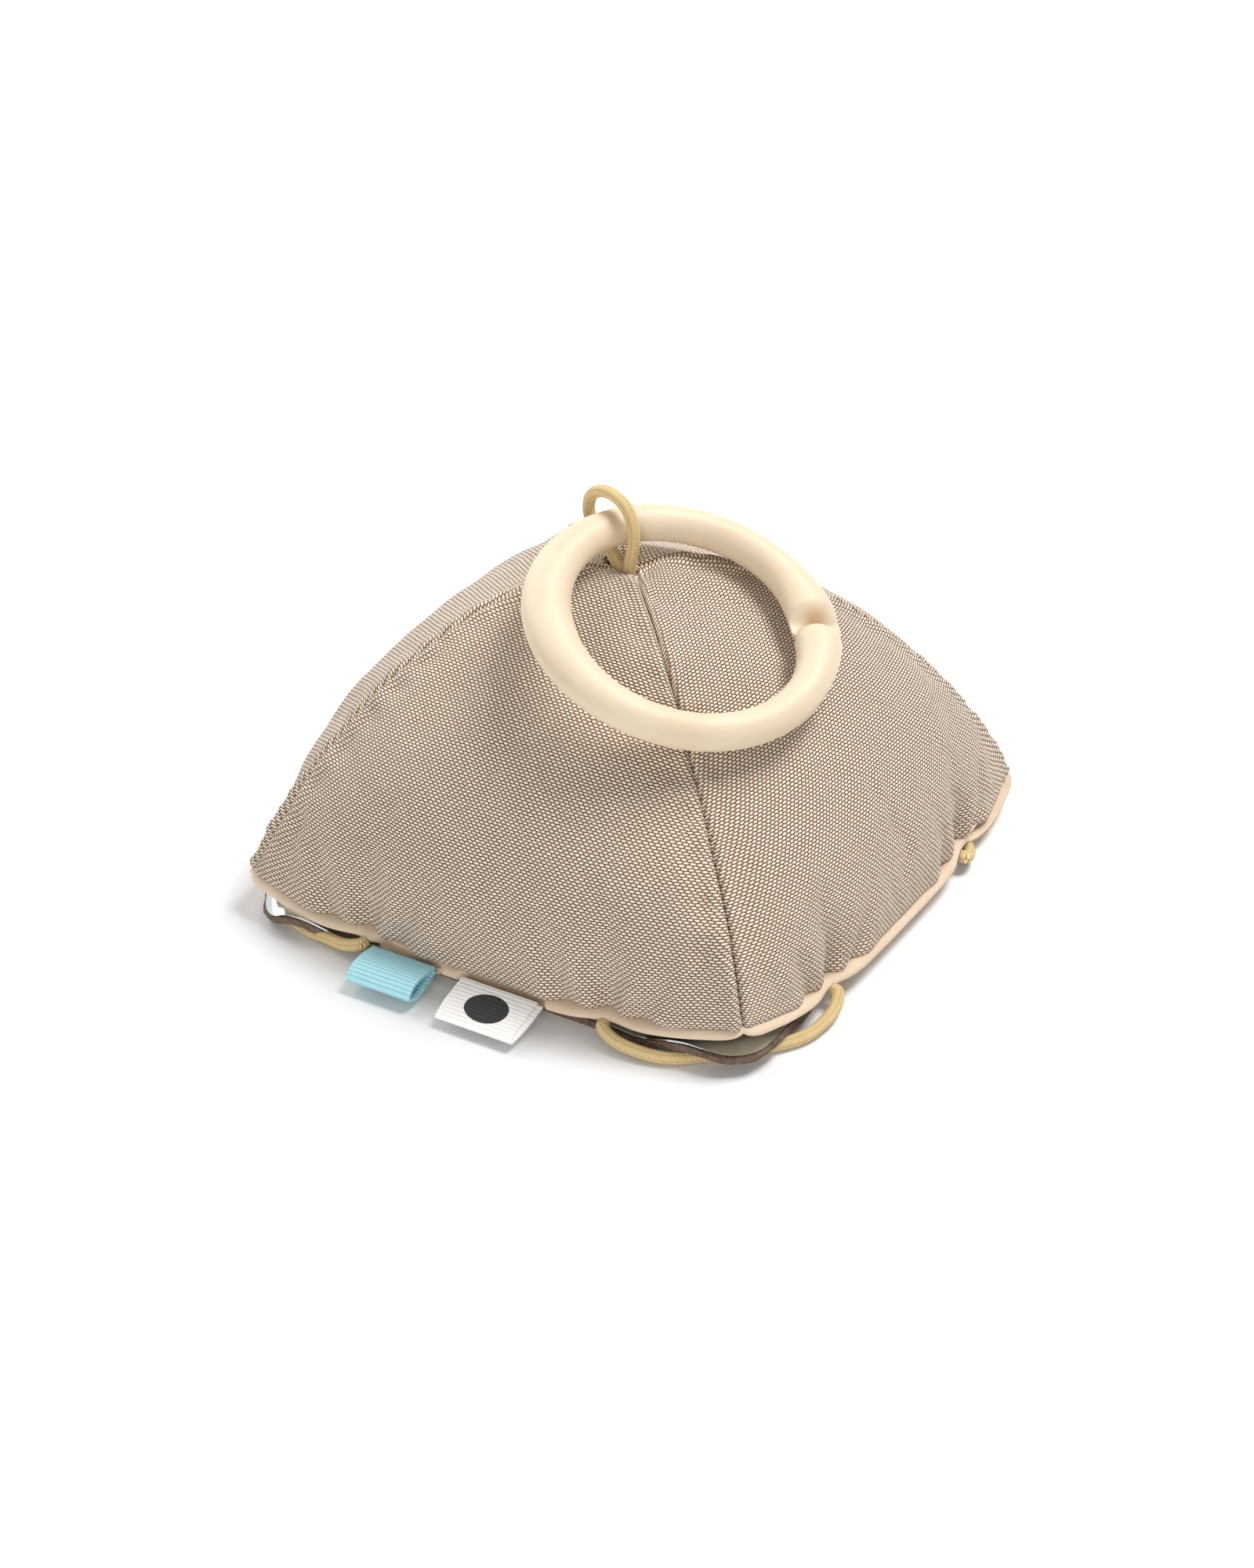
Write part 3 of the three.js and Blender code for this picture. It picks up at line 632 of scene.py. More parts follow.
# Grid over a side, close beside the seams and the base
def canvasGrid():
    per, nearBase = canvas["perMillimetre"], np.array(canvas["nearBase"])
    upper = np.linspace(canvas["fromBase"] * per, canvas["topAt"], canvas["rows"])
    levels = np.concatenate([nearBase * per - canvas["hem"], upper])
    half = seamHalf(levels)[:, None]
    scale = np.minimum(1.0, half / canvas["narrow"])
    edge = np.array(canvas["nearSeam"]) * scale / half
    inner = np.linspace(-1, 1, canvas["columns"]) * (1 - canvas["fromSeam"] * scale / half)
    u = np.hstack([edge - 1, inner, (1 - edge)[:, ::-1]])
    return u, np.broadcast_to(levels[:, None], u.shape), half


# How far the sewn edges sink, and how far the cloth beside them stands proud
def seamRelief(side, u, v, half, up):
    fade = np.minimum(1, half / canvas["seamFade"])
    wave = 1 + 0.3 * np.sin(up * 0.83 + side * 1.7) * np.sin(up * 0.31 + 0.6)
    low = smooth((45 - up) / 30)
    runOut, runUp = seamLine(v)[2:]
    offset = np.zeros_like(u)
    sunk = np.zeros(u.shape + (3,))
    for way, fromSeam, raised, corner in (
            (1, (1 + u) * half, 0.75 - 0.3 * low, (side + 3) % 4),
            (-1, (1 - u) * half, 0.75 + 0.75 * low, side)):
        deep = canvas["seamSink"][corner] * bump(fromSeam, canvas["sinkReach"]) * fade
        inward = deep * runUp / rootTwo
        lap = canvas["seamLap"] * bump(fromSeam, canvas["lapReach"])
        sunk += np.stack([way * (inward - lap), inward, deep * runOut], -1)
        roll = bump(fromSeam - canvas["rollAt"], canvas["rollReach"])
        dimple = bump(fromSeam - canvas["dimpleAt"], canvas["dimpleReach"])
        offset += canvas["seamRoll"] * raised * wave * roll * fade
        offset -= canvas["seamDimple"] * (1 + np.sin(up * 0.62 + fromSeam * 0.1 + side)) * dimple * fade
    offset -= canvas["hemSink"] * bump(up, canvas["hemReach"])
    offset += canvas["hemRoll"] * bump(up - canvas["hemRollAt"], canvas["hemRollReach"])
    return offset, sunk


# Folds that fan out from the elastics, and slow ripples
def foldRelief(side, across, half, up):
    offset = np.zeros_like(across)
    fromSeam = half - np.abs(across)
    for exitX in (-elasticExit, elasticExit):
        for aside, fan, high, wide, tall in canvas["folds"]:
            x = across - exitX - aside - fan * up - canvas["foldSway"] * np.sin(up * 0.21 + aside + side)
            offset += high * bump(x, wide) * bump(up, tall) * smooth(fromSeam / canvas["foldFade"])
    ripple = np.sin(across * 0.19 + side * 2.1) * np.sin(up * 0.16 + 1.1 + side)
    ripple = ripple + 0.6 * np.sin(across * 0.33 - up * 0.12 + side)
    offset += canvas["ripple"] * ripple * smooth(up / 10) * smooth((half - 6) / 20)
    rise = smooth((up - canvas["tuckFrom"]) / canvas["tuckRise"])
    return offset - canvas["tuck"][side] * rise * smooth(fromSeam / canvas["tuckFade"])


def canvasPanel(side):
    u, v, half = canvasGrid()
    local = coverPoint(u, v, 0.0, side)
    up = runLength(local[:, u.shape[1] // 2])[:, None]
    across = u * half
    offset, sunk = seamRelief(side, u, v, half, up)
    offset = offset + foldRelief(side, across, half, up)
    points = leaned(turned(local + gridNormals(local) * offset[..., None] + sunk, side))
    if coverFields:
        share = smooth((canvas["topAt"] - v) / settle["blendOut"])
        points = points + sampled(coverFields[side], u, v / settle["top"]) * share[..., None]
    points = closedOnLoop(points, half)
    uvs = np.stack([across, np.broadcast_to(up, across.shape)], -1) * mm
    obj = meshPiece(sides[side] + "_canvas", points.reshape(-1, 3) * mm, gridFaces(*u.shape), canvasCloth,
                    "weave", uvs.reshape(-1, 2))
    area = meshArea(obj)
    applied(obj, "SOLIDIFY", thickness=canvas["thickness"] * mm, offset=-1, use_even_offset=False)
    return obj, area, float(up[-1, 0])


panelFacts = {}
for side, sideName in enumerate(sides):
    panel, panelArea, panelUp = canvasPanel(side)
    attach(panel, "pillow")
    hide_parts(sideName + "_panel")
    panelFacts[sideName] = (round(panelArea * 1e4, 1), round(panelUp, 1))
print("canvas panels made, area in cm2 and length up the middle in mm:", panelFacts)

# Base twill, with a rim that rolls up to the seam and gives way where the ribbons come out
twill = {
    # light and dark colour the twill by thread height: the dark is painted shade in the grooves between twill
    # lines, and dust is random tone
    "pitch": 0.5, "light": (237, 215, 189), "dark": (210, 185, 157), "dust": (190, 160, 134),
    "thickness": 0.8, "columns": 140, "perSpan": 4, "rimOut": 1.8, "rimDepth": 3.0, "cornerShallow": 0.8,
    "rimLift": 0.3, "seamDepth": 1.2, "cornerRim": (0.45, -1.3, 0.45, 0.45), "rimTurn": 8,
    "drawnFrom": 0.45, "drawnSpan": 0.3,
    "tagSpans": ((-19.5, 8.5), (6.2, 10.0)), "tagDip": 1.7, "tagEase": 1.5, "flatParts": (0.1, 0.4, 0.7),
}


def twillMaterial():
    material, wire, shader = newMaterial("baseTwill")
    uv, across, along = uvPlace(wire, "weave")
    shake = wire.noise(uv, 600.0, 2.0)
    line = ((across + along * 1.4) / (twill["pitch"] * mm) + (shake - 0.5) * 0.6) % 1 - 0.5
    cross = ((across - along * 2.2) / (twill["pitch"] * 0.6 * mm)) % 1 - 0.5
    high = (1 - (line * 2) ** 2) * (1 - (cross * 2) ** 2 * 0.4)
    # painted shade: darker in the grooves between twill lines
    colour = wire.mix(high.over(0.0, 0.8), tint(*twill["dark"]), tint(*twill["light"]))
    colour = wire.mix(wire.noise(uv, 60.0).over(0.4, 0.8) * 0.2, colour, tint(*twill["dust"]))
    dressed(wire, shader, colour, 0.95 - high * 0.1, high, strength=0.5, depth=0.00015)
    return material


# Distance out from the seam and height of each line round the base, from the flat to inside the seam
def rimProfile(side, u):
    bottom, flat = form["baseBottom"], -flatInset(u)
    last = byCorner(twill["cornerRim"], u, side)
    drawn = smooth((np.abs(u) - twill["drawnFrom"]) / twill["drawnSpan"])
    rim = twill["rimOut"] * (1 - (1 - last) * np.where(last < 0, drawn, u ** twill["rimTurn"]))
    top = coverPoint(u, np.zeros(len(u)), twill["seamDepth"], side)[:, 2] + twill["rimLift"]
    deep = twill["rimDepth"] - twill["cornerShallow"] * u ** 6
    if sides[side] == "front":
        for middle, halfWide in twill["tagSpans"]:
            inside = halfWide + twill["tagEase"] - np.abs(u * form["baseHalf"] - middle)
            rim = rim * (1 - twill["tagDip"] * smooth(inside / twill["tagEase"]))

    def heightAt(share):
        return np.maximum(bottom + share * (top - bottom), top - (1 - share) * deep)
    return [
        (flat, np.full(len(u), bottom)), (0.75 * flat, 0.85 * bottom + 0.15 * heightAt(0.1)),
        (0.45 * flat - 0.3 * rim, 0.55 * bottom + 0.45 * heightAt(0.1)), (-0.6 * rim, heightAt(0.14)),
        (0.3 * rim, heightAt(0.17)), (0.85 * rim, heightAt(0.32)), (rim, heightAt(0.52)),
        (0.85 * rim, heightAt(0.74)), (0.35 * rim, heightAt(0.93)), (-0.5 + 0 * rim, heightAt(1.0)),
        (-1.6 + 0 * rim, heightAt(1.0) + 0.1),
    ]


def basePiece():
    per, bottom = twill["columns"], form["baseBottom"]
    u = 2 * np.arange(per) / per - 1
    loops = []
    for side in range(4):
        profile = rimProfile(side, u)
        seam = coverPoint(u, np.zeros(per), 0.0, side)
        inward = (-seam[:, 1] - flatInset(u)) / -seam[:, 1]
        lines = [drawnIn(seam, inward * part, profile[0][1]) for part in twill["flatParts"]]
        lines += [drawnIn(seam, (-seam[:, 1] + out) / -seam[:, 1], z) for out, z in profile]
        loops.append(leaned(turned(np.array(lines), side)))
    control = np.concatenate(loops, axis=1)
    line = np.array([smoothPath(control[:, j], twill["perSpan"]) for j in range(control.shape[1])])
    line = line.transpose(1, 0, 2)
    rows, columns = line.shape[:2]
    uvs = line[..., :2].copy()
    uvs[..., 1] += line[..., 2]
    middle = rows * columns
    points = np.vstack([line.reshape(-1, 3), (0, 0, bottom)])
    uvs = np.vstack([uvs.reshape(-1, 2), (0, 0)])
    faces = [f[::-1] for f in gridFaces(rows, columns, True).tolist()]
    faces += [[middle, (j + 1) % columns, j] for j in range(columns)]
    obj = meshPiece("base_twill", points * mm, faces, twillMaterial(), "weave", uvs * mm)
    mended(obj)
    lowest = min(obj.data.polygons, key=lambda p: p.center.length)
    if lowest.normal.z > 0:
        obj.data.flip_normals()
    area = meshArea(obj)
    applied(obj, "SOLIDIFY", thickness=twill["thickness"] * mm, offset=-1)
    return obj, area


baseTwill, baseArea = basePiece()
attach(baseTwill, "pillow")
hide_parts("base_panel")
print("base twill made, %.1f cm2" % (baseArea * 1e4))

# Loose fibre inside the cover
fill = {
    "depth": 5.0, "columns": 48, "rows": 26, "drop": 13.0, "lowest": 0.13, "topStep": 0.005, "floorGap": 1.2,
    "flatInset": 4, "back": 0.6, "tufts": 0.6, "peakRise": 0.2,
    "dark": (214, 210, 202), "light": (250, 248, 243),
}


def fillMaterial():
    material, wire, shader = newMaterial("looseFibre")
    tuft = wire.noise(objectPlace(wire), 180.0, 6.0, 0.65)
    colour = wire.mix(tuft, tint(*fill["dark"]), tint(*fill["light"]))
    dressed(wire, shader, colour, 0.9 + tuft * 0.1, tuft, strength=0.8, depth=0.002)
    return material


def fillPiece():
    per, bottom = fill["columns"], form["baseBottom"] + fill["floorGap"]
    u = 2 * np.arange(per) / per - 1
    peak = form["peakHeight"] - fill["drop"]
    top = fill["lowest"]
    while float(seamLine(np.array(top))[1]) < peak:
        top += fill["topStep"]
    seam = coverPoint(u, np.zeros(per))
    scale = (-seam[:, 1] - (flatInset(u) + fill["flatInset"])) / -seam[:, 1]
    lines = [drawnIn(seam, scale, np.full(per, bottom))]
    for v in np.linspace(fill["lowest"], top, fill["rows"]):
        line = coverPoint(u, np.full(per, v), fill["depth"])
        line[:, 1] += fill["back"] + fill["tufts"] * np.sin(u * 17 + v * 23) * np.sin(u * 7 - v * 31)
        lines.append(line)
    loops = [np.concatenate([leaned(turned(line, side)) for side in range(4)]) for line in lines]
    points = np.concatenate(loops)
    columns, low, high = 4 * per, len(points), len(points) + 1
    points = np.vstack([points, (0, 0, bottom), (*form["peakLean"], peak + fill["peakRise"])])
    last = low - columns
    faces = gridFaces(len(loops), columns, True).tolist()
    faces += [[low, (j + 1) % columns, j] for j in range(columns)]
    faces += [[high, last + j, last + (j + 1) % columns] for j in range(columns)]
    return meshPiece("fibre_fill", points * mm, faces, fillMaterial())


fibreFill = fillPiece()
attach(fibreFill, "pillow")
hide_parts("fibre_filling")
print("filling made")

# Split ring
ring = {
    "centre": (20.2093, -14.8152, 75.9492), "tilt": math.radians(21.4), "fall": math.radians(-21.1),
    "radius": 31.6, "tube": 4.3, "tubeSides": 24, "spinSteps": 240, "domeSteps": 9,
    "split": math.radians(113), "endSwell": 1.7, "endReach": math.radians(24), "plateSwell": 1.6,
    "plateReach": math.radians(48), "gap": 0.3, "dome": 5.6, "domeBase": 7.0, "lip": 3.1, "scoopReach": 5.0,
    # the gold-brown scoop colour, within its reach around the split, is painted shade of the hollow; colour
    # and shade are mixed at random by a cloud noise
    "scoopIn": 2.8, "wall": 0.3, "bead": 0.06, "beadReach": 0.12, "paintedShadeReach": (0.6, 4.2),
    "colour": (221, 204, 177), "shade": (206, 181, 145), "scoopPaintedShade": (192, 152, 97),
}


def ringFrame():
    tilt, fall = ring["tilt"], ring["fall"]
    up = Vector((-math.cos(fall) * math.cos(tilt), -math.sin(fall) * math.cos(tilt), math.sin(tilt)))
    across = Vector((-math.sin(fall), math.cos(fall), 0))
    return up, across, across.cross(up).normalized()


def ringMaterial():
    material, wire, shader = newMaterial("ringPlastic")
    place = objectPlace(wire)
    cloud = wire.noise(place, 60.0, 3.0)
    grain = wire.noise(place, 2500.0, 2.0)
    up, across = ringFrame()[:2]
    turn = ring["split"] + (ring["domeBase"] - ring["dome"] - ring["scoopIn"]) / ring["radius"]
    scoopAt = (Vector(ring["centre"]) + (up * math.cos(turn) + across * math.sin(turn)) * ring["radius"]) * mm
    away = wire.node("ShaderNodeVectorMath", {"operation": "DISTANCE"}, {0: place, 1: tuple(scoopAt)}, 1)
    near, far = ring["paintedShadeReach"]
    colour = wire.mix(cloud.over(0.3, 0.75) * 0.35, tint(*ring["colour"]), tint(*ring["shade"]))
    # painted shade: the gold-brown scoop colour is strongest at the scoop's middle and fades out by the far
    # reach
    colour = wire.mix((1 - away.over(near * mm, far * mm)) * 0.8, colour, tint(*ring["scoopPaintedShade"]))
    dressed(wire, shader, colour, 0.46 + cloud * 0.08 + grain * 0.04, grain, strength=0.08, depth=0.0001,
            fixed=(("Subsurface Weight", 0.08), ("Subsurface Radius", (0.003, 0.002, 0.001)),
                   ("Subsurface Scale", 0.5)))
    return material


def ringPiece():
    up, across, normal = ringFrame()
    radius, tube, wholeTurn = ring["radius"] * mm, ring["tube"] * mm, 2 * math.pi
    openAngle = ring["lip"] / ring["radius"]
    fromAngle = ring["split"] + ring["domeBase"] / ring["radius"]
    spunAngle = wholeTurn - openAngle
    bpy.ops.object.select_all(action="DESELECT")
    bpy.ops.mesh.primitive_circle_add(vertices=ring["tubeSides"], radius=tube, location=(radius, 0, 0),
                                      rotation=(math.pi / 2, 0, 0))
    obj = bpy.context.object
    obj.name = "split_ring"
    bpy.ops.object.transform_apply(location=True, rotation=True, scale=True)
    bpy.ops.object.mode_set(mode="EDIT")
    bpy.ops.mesh.select_all(action="SELECT")
    bpy.ops.mesh.spin(steps=ring["spinSteps"], angle=spunAngle, center=(0, 0, 0), axis=(0, 0, 1))
    bpy.ops.mesh.select_all(action="SELECT")
    bpy.ops.mesh.remove_doubles(threshold=1e-6)
    bpy.ops.object.mode_set(mode="OBJECT")
    mesh = obj.data
    spin = np.array([v.co for v in mesh.vertices])
    turn = np.arctan2(spin[:, 1], spin[:, 0]) % wholeTurn
    fromStart = wholeTurn - turn
    if np.any((fromStart > openAngle * 0.2) & (fromStart < openAngle * 0.8)):  # spun the other way
        spin[:, 1] *= -1
        turn = np.arctan2(spin[:, 1], spin[:, 0]) % wholeTurn
    turn[turn > wholeTurn - openAngle / 2] = 0.0
    angle = fromAngle + turn
    out = np.hypot(spin[:, 0], spin[:, 1]) - radius
    aside = out / tube
    fromSplit = np.abs(np.arctan2(np.sin(angle - ring["split"]), np.cos(angle - ring["split"])))
    swell = ring["endSwell"] * bump(fromSplit, ring["endReach"])
    swell = swell + ring["plateSwell"] * bump(math.pi - fromSplit, ring["plateReach"])
    out = out * (1 + swell / ring["tube"])
    bead = ring["bead"] * mm * bump(spin[:, 2], ring["beadReach"] * mm) * (out < 0)
    reach = radius + out - bead
    # the upper arm's end is scooped on its top side, where the other end's dome lies in it
    fromDome = (fromAngle + wholeTurn - angle) * ring["radius"]
    under = tube * np.sqrt(np.maximum(1 - (fromDome / ring["dome"]) ** 2 - aside ** 2, 0)) + ring["gap"] * mm
    lowest = tube * np.sqrt(np.maximum(1 - aside ** 2, 0)) - ring["wall"] * mm
    share = (1 - smooth((fromDome - ring["dome"]) / ring["scoopReach"])) * (spin[:, 2] > tube * 0.05)
    height = spin[:, 2] * (1 - share) - np.minimum(under, lowest) * share
    placed = (np.outer(np.cos(angle) * reach, up) + np.outer(np.sin(angle) * reach, across)
              + np.outer(height, normal) + np.array(ring["centre"]) * mm)
    mesh.vertices.foreach_set("co", placed.astype(np.float32).ravel())
    mesh.update()
    rims = [np.flatnonzero(turn < 1e-4).tolist(), np.flatnonzero(turn > spunAngle - 1e-4).tolist()]
    return obj, fromAngle, rims, up, across


def pickVertices(obj, picked):
    useOnly(obj)
    bpy.ops.object.mode_set(mode="EDIT")
    bpy.ops.mesh.select_mode(type="VERT")
    bpy.ops.mesh.select_all(action="DESELECT")
    bpy.ops.object.mode_set(mode="OBJECT")
    for i in picked:
        obj.data.vertices[i].select = True
    bpy.ops.object.mode_set(mode="EDIT")


# Closes one end flat and the other with a dome of shrinking rings
def ringEnds(obj, angle, rims, up, across):
    dome, steps = ring["dome"] * mm, ring["domeSteps"]
    spoke = up * math.cos(angle) + across * math.sin(angle)
    ahead = across * math.cos(angle) - up * math.sin(angle)
    middle = Vector(ring["centre"]) * mm + spoke * (ring["radius"] * mm)
    pickVertices(obj, rims[1])
    bpy.ops.mesh.edge_face_add()
    bpy.ops.object.mode_set(mode="OBJECT")
    pickVertices(obj, rims[0])
    before, depth = 1.0, 0.0
    for step in range(1, steps):
        share = math.cos(step / steps * math.pi / 2)
        reach = dome * math.sqrt(1 - share * share)
        bpy.ops.mesh.extrude_edges_move(TRANSFORM_OT_translate={"value": tuple(ahead * (depth - reach))})
        ratio = share / before
        bpy.ops.transform.resize(value=(ratio, ratio, ratio), center_override=tuple(middle - ahead * reach))
        before, depth = share, reach
    bpy.ops.mesh.merge(type="CENTER")
    bpy.ops.object.mode_set(mode="OBJECT")
    mended(obj, weld=5e-7)
    obj.data.shade_smooth()
    obj.data.materials.append(ringMaterial())
    return applied(obj, "SUBSURF", levels=1, render_levels=1)


splitRing = ringEnds(*ringPiece())
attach(splitRing, "ring")
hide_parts("hanging_ring")
print("ring made,", len(splitRing.data.polygons), "faces")

# Mirror sheet: felt with a film on it, corners lifted over the elastics
mirror = {
    "half": 66.1, "cornerRadius": 14.0, "forward": 1.5, "liftStart": 21.5, "liftEnd": 10.5, "lift": 3.8,
    "feltThickness": 1.6, "filmLow": 1.8, "filmThickness": 0.4, "filmInset": 0.5, "ragged": 0.1,
    "cornerPull": ((4.2, -3.0), (0, 0), (0, 0), (1.6, -6.4)), "pullReach": 44,
    "droop": (0.9, 0, 0, 3.0), "droopFrom": 9.5, "droopSpan": 3.7, "droopReach": 30,
    "edgePoints": 60, "arcPoints": 15, "innerRings": (0, 0.7, 6), "outerRings": (0.73, 1, 18),
    "felt": (128, 106, 90), "feltDark": (84, 66, 54), "feltDust": (158, 136, 118),
    "film": (205, 212, 212), "filmSmear": (176, 184, 184),
}


def feltMaterial():
    material, wire, shader = newMaterial("brownFelt")
    place = objectPlace(wire)
    fluff = wire.noise(place, 1400.0, 5.0, 0.7)
    cloud = wire.noise(place, 220.0, 3.0)
    colour = wire.mix(fluff.over(0.3, 0.72), tint(*mirror["feltDark"]), tint(*mirror["felt"]))
    colour = wire.mix(cloud.over(0.45, 0.8) * 0.35, colour, tint(*mirror["feltDust"]))
    dressed(wire, shader, colour, 0.9 + fluff * 0.1, fluff, strength=0.9, depth=0.0004)
    return material


def filmMaterial():
    material, wire, shader = newMaterial("mirrorFilm")
    place = objectPlace(wire)
    smear = wire.noise(place, 45.0, 3.0)
    wave = wire.noise(place, 22.0, 1.0)
    colour = wire.mix(smear.over(0.4, 0.75) * 0.2, tint(*mirror["film"]), tint(*mirror["filmSmear"]))
    dressed(wire, shader, colour, 0.06 + smear * 0.08, wave, strength=0.25, depth=0.0015,
            fixed=(("Metallic", 1.0),))
    return material


def sheetOutline(half, radius):
    inner = half - radius
    edge = [(x, -half, 0) for x in np.linspace(-inner, inner, mirror["edgePoints"])[:-1]]
    arc = [(inner + radius * math.cos(turn), -inner + radius * math.sin(turn), 0)
           for turn in np.linspace(-math.pi / 2, 0, mirror["arcPoints"])[:-1]]
    return np.concatenate([turned(np.array(edge + arc), side)[:, :2] for side in range(4)])


def sheetPiece(name, low, thick, inset, material, ragged):
    whole = mirror["half"]
    half = whole - inset
    outline = sheetOutline(half, mirror["cornerRadius"] - inset * 0.5)
    loops = []
    for share in np.concatenate([np.linspace(*mirror["innerRings"]), np.linspace(*mirror["outerRings"])]):
        p = outline * max(share, 0.001)
        fromTip = rootTwo * whole - (np.abs(p[:, 0]) + np.abs(p[:, 1])) / rootTwo
        lifted = smooth((mirror["liftStart"] - fromTip) / (mirror["liftStart"] - mirror["liftEnd"]))
        rise = mirror["lift"] * lifted
        drooped = smooth((mirror["droopFrom"] - fromTip) / mirror["droopSpan"])
        for corner, (x, y) in enumerate(((1, -1), (1, 1), (-1, 1), (-1, -1))):
            away = np.hypot(p[:, 0] - x * whole, p[:, 1] - y * whole)
            rise = rise - mirror["droop"][corner] * drooped * (away < mirror["droopReach"])
            p = p + np.outer(smooth(1 - away / mirror["pullReach"]), mirror["cornerPull"][corner])
        loops.append(np.stack([p[:, 0], p[:, 1] - mirror["forward"], rise + low + thick], -1))
    points = np.array(loops)
    if ragged:
        order = np.arange(len(outline))
        jag = ragged * (np.sin(order * 2.3) * np.sin(order * 0.71) + 0.6 * np.sin(order * 5.1))
        points[-1, :, :2] *= (1 + jag / half)[:, None]
    rows, columns = points.shape[:2]
    obj = meshPiece(name, points.reshape(-1, 3) * mm, gridFaces(rows, columns, True), material)
    mended(obj, weld=1e-4)
    if obj.data.polygons[0].normal.z < 0:
        obj.data.flip_normals()
    applied(obj, "SOLIDIFY", thickness=thick * mm, offset=-1)
    useOnly(obj)
    bpy.ops.object.shade_smooth_by_angle(angle=math.radians(40))
    return obj


felt = sheetPiece("felt_backing", 0.0, mirror["feltThickness"], 0.0, feltMaterial(), mirror["ragged"])
film = sheetPiece("mirror_face", mirror["filmLow"], mirror["filmThickness"], mirror["filmInset"],
                  filmMaterial(), 0.0)
for sheetObj, nodeName, slotName, lies in (
        (felt, "mirror_felt", "felt", []), (film, "mirror_film", "mirror", ["felt_backing"])):
    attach(sheetObj, "mirror")
    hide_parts(nodeName)
print("mirror sheet made")

# Ribbon tags
blue = {
    "width": 17.0, "at": -19.5, "reach": 11.5, "opening": 3.2, "droop": math.radians(8.5), "thickness": 0.7,
    # light and dark colour the ribbon by rib height: the dark is painted shade in the gaps between ribs and
    # between the fine threads
    "ribPitch": 1.0, "light": (176, 227, 236), "dark": (108, 180, 195), "endGap": 0.3, "raise": 1.1,
    "out": 0.6, "skew": 0.0, "stack": 1.4, "columns": 25,
}
white = {
    "width": 20.0, "at": 6.2, "reach": 12.6, "gap": 0.1, "droop": math.radians(12.5), "thickness": 0.62,
    # light and dark colour the ribbon by rib height, the dark being painted shade in the gaps between ribs
    "ribPitch": 1.15, "light": (255, 254, 251), "dark": (234, 230, 222), "raise": 1.2, "out": 0.3,
    "skew": 1.4, "stack": 1.4, "columns": 25, "dotSize": (11.0, 8.6), "dotAt": (0.4, 6.4),
    # the two ink colours follow rib height: the darker one is painted shade on the print in the rib gaps
    "ink": (25, 25, 26), "inkDark": (4, 4, 5),
}


def ribbonMaterial(name, facts, dotAt=None):
    material, wire, shader = newMaterial(name)
    uv, across, along = uvPlace(wire, "ribbon")
    light, dark = tint(*facts["light"]), tint(*facts["dark"])
    shake = wire.noise(uv, 700.0, 2.0)
    rib = (along / (facts["ribPitch"] * mm) + (shake - 0.5) * 0.12) % 1 - 0.5
    high = (1 - (rib.size() * 2) ** 2).atLeast(0.0) ** 0.6
    fromEdge = facts["width"] / 2 - across.size() * 1000
    stitch = (along / 0.0012) % 1 - 0.5
    edge = 1 - fromEdge.over(0.35, 0.75)
    thread = (1 - ((fromEdge - 1.15) / 0.3).size()).over(0.0, 0.6) * (1 - (stitch.size() * 2).over(0.55, 0.9))
    fine = (across / 0.00028) % 1 - 0.5
    # painted shade: darker in the low gaps between ribs
    colour = wire.mix(high.over(0.05, 0.8), dark, light)
    # painted shade between the fine threads
    colour = wire.mix((1 - (fine.size() * 2)) * 0.12, colour, dark)
    colour = wire.mix(thread * 0.55 + edge * 0.2, colour, light)
    if dotAt is not None:
        dx = (across * 1000 - dotAt[0]) / (facts["dotSize"][0] / 2)
        dy = (along * 1000 - dotAt[1]) / (facts["dotSize"][1] / 2)
        spot = 1 - (dx * dx + dy * dy + (shake - 0.5) * 0.08).over(0.94, 1.04)
        # painted shade on the print: darker in the rib gaps
        ink = wire.mix(high.over(0.0, 0.8), tint(*facts["inkDark"]), tint(*facts["ink"]))
        colour = wire.mix(spot, colour, ink)
    dressed(wire, shader, colour, 0.72 - high * 0.14, high + thread * 0.5, strength=0.7, depth=0.0002)
    return material


def tagRoot(facts):
    seam = coverPoint(np.array(facts["at"] / form["baseHalf"]), np.array(0.0))
    out = form["rimOut"] + facts["out"] + facts["stack"] * math.sin(facts["droop"])
    return np.array((facts["at"], seam[1] - out, form["edgeHeight"] - 0.3 + facts["raise"]))


def ribbonPiece(name, profile, facts, material):
    root, count = tagRoot(facts), facts["columns"]
    along = runLength(profile)
    xs = np.linspace(-0.5, 0.5, count) * facts["width"]
    c, s = math.cos(facts["droop"]), math.sin(facts["droop"])
    y = root[1] - (profile[:, 0] * c + profile[:, 1] * s)
    z = root[2] - profile[:, 0] * s + profile[:, 1] * c
    slid = facts["skew"] * (1 - smooth(along / along[-1] * 2 - 0.5))  # lower layer lies a little aside
    x = root[0] + xs[None, :] + slid[:, None]
    points = np.stack(np.broadcast_arrays(x, y[:, None], z[:, None]), -1)
    uvs = np.stack(np.broadcast_arrays(xs[None, :], along[:, None]), -1)
    obj = meshPiece(name, points.reshape(-1, 3) * mm, gridFaces(len(profile), count), material, "ribbon",
                    uvs.reshape(-1, 2) * mm)
    applied(obj, "SOLIDIFY", thickness=facts["thickness"] * mm, offset=0)
    useOnly(obj)
    bpy.ops.object.shade_smooth_by_angle(angle=math.radians(50))
    return obj, along[-1]


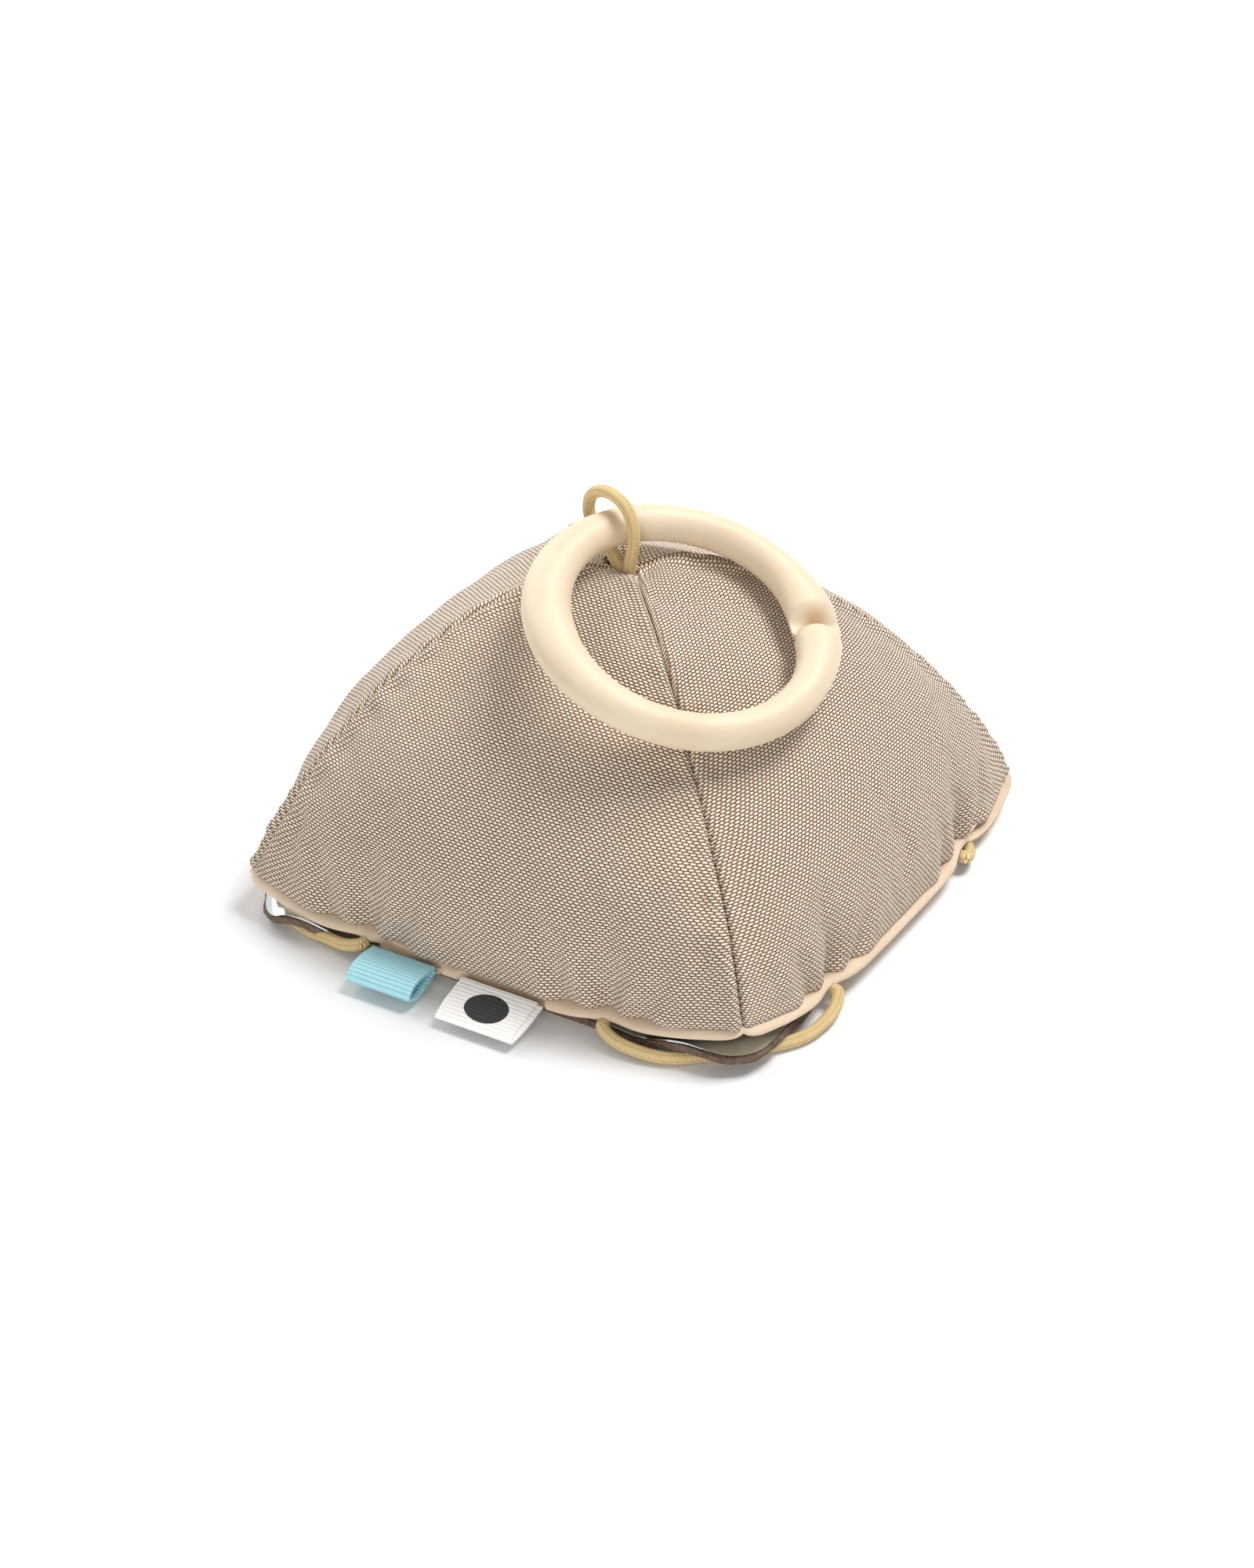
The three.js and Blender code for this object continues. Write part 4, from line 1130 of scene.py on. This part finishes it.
def blueProfile():
    height, reach = blue["opening"] + blue["thickness"], blue["reach"]
    together = (blue["thickness"] + blue["endGap"]) / 2
    lower = [(0, -together), (0.35 * reach, -0.42 * height), (0.72 * reach, -0.5 * height)]
    upper = [(a, -b) for a, b in lower[::-1]]
    run = lower + [(reach - blue["thickness"] / 2, 0)] + upper
    return smoothPath(np.array([(a, b, 0) for a, b in run]), 10)[:, :2]


def whiteProfile():
    half, reach = white["thickness"] / 2 + white["gap"] / 2, white["reach"]
    bend = reach - half
    lower = [(x, -half) for x in np.linspace(0, bend, 24)]
    angles = np.linspace(-math.pi / 2, math.pi / 2, 9)[1:-1]
    turn = [(bend + half * math.cos(a), half * math.sin(a)) for a in angles]
    upper = [(x, half) for x in np.linspace(bend, 0, 24)]
    return np.array(lower + turn + upper)


blueTag, blueLength = ribbonPiece("blue_ribbon", blueProfile(), blue, ribbonMaterial("blueGrosgrain", blue))
whiteRun = whiteProfile()
dotPlace = (white["dotAt"][0], float(runLength(whiteRun)[-1]) - white["dotAt"][1])
whiteTag, whiteLength = ribbonPiece("white_ribbon", whiteRun, white,
                                    ribbonMaterial("whiteGrosgrain", white, dotPlace))
for tagObj, nodeName, slotName, bodyName, facts, tagLength in (
        (blueTag, "blue_ribbon_tag", "blue_ribbon", "blue_tag", blue, blueLength),
        (whiteTag, "white_ribbon_tag", "white_ribbon", "white_tag", white, whiteLength)):
    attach(tagObj, bodyName)
    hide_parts(nodeName)
print("ribbon tags made, %.1f and %.1f mm of ribbon" % (blueLength, whiteLength))

# Studio, in metres, with each lamp's name, place, size and power
studio = {
    "floor": (236, 236, 236), "floorSize": 8, "floorGlow": 0.03, "glowFrom": 0.1, "glowTo": 0.25,
    "world": 0.27, "aim": (0, 0, 0.03), "white": (1, 1, 1, 1),
    "lamps": (("key", (0.36, 0.46, 1.1), 0.5, 14.6), ("rim", (-0.8, 0.3, 0.6), 0.9, 7.0),
              ("fill", (0.3, -1.05, 0.28), 0.6, 5.4)),
}


def brightRay(wire):
    camRay = wire.node("ShaderNodeLightPath", {}, {}, "Is Camera Ray")
    glossRay = wire.node("ShaderNodeLightPath", {}, {}, "Is Glossy Ray")
    clearRay = wire.node("ShaderNodeLightPath", {}, {}, "Is Transmission Ray")
    return camRay.atLeast(glossRay).atLeast(clearRay)


# Pale floor with a glow seen by camera, glossy and transmission rays: painted light that turns the floor
# white away from the object and leaves it darker near it
def floorMaterial():
    material = bpy.data.materials.new("paleFloor")
    material.use_nodes = True
    tree = material.node_tree
    tree.nodes.remove(tree.nodes["Principled BSDF"])
    wire = Wire(tree)
    matte = wire.node("ShaderNodeBsdfDiffuse", {}, {"Color": tint(*studio["floor"])})
    away = wire.node("ShaderNodeVectorMath", {"operation": "LENGTH"}, {0: objectPlace(wire)}, 1)
    least = studio["floorGlow"]
    # painted light: the glow is weakest near the object and full further out
    strength = brightRay(wire) * (away.over(studio["glowFrom"], studio["glowTo"]) * (1 - least) + least)
    glow = wire.node("ShaderNodeEmission", {}, {"Color": studio["white"], "Strength": strength})
    both = wire.node("ShaderNodeAddShader", {}, {0: matte, 1: glow})
    tree.links.new(both.socket, tree.nodes["Material Output"].inputs["Surface"])
    return material


def makeStudio():
    bpy.ops.object.select_all(action="DESELECT")
    bpy.ops.mesh.primitive_plane_add(size=studio["floorSize"], location=(0, 0, 0))
    floor = bpy.context.object
    floor.name = "floor"
    floor.data.materials.append(floorMaterial())
    world = bpy.data.worlds.new("studio")
    world.use_nodes = True
    bpy.context.scene.world = world
    wire = Wire(world.node_tree)
    soft = wire.node("ShaderNodeBackground", {}, {"Color": studio["white"], "Strength": studio["world"]})
    plain = wire.node("ShaderNodeBackground", {}, {"Color": studio["white"], "Strength": 1.0})
    both = wire.node("ShaderNodeMixShader", {}, {0: brightRay(wire), 1: soft, 2: plain})
    wire.tree.links.new(both.socket, wire.tree.nodes["World Output"].inputs["Surface"])
    for name, place, size, power in studio["lamps"]:
        lamp = bpy.data.objects.new(name, bpy.data.lights.new(name, "AREA"))
        lamp.data.size = size
        lamp.data.energy = power
        aimed(lamp, place, studio["aim"])
    bpy.context.scene.view_settings.view_transform = "Standard"


makeStudio()
print("studio made")
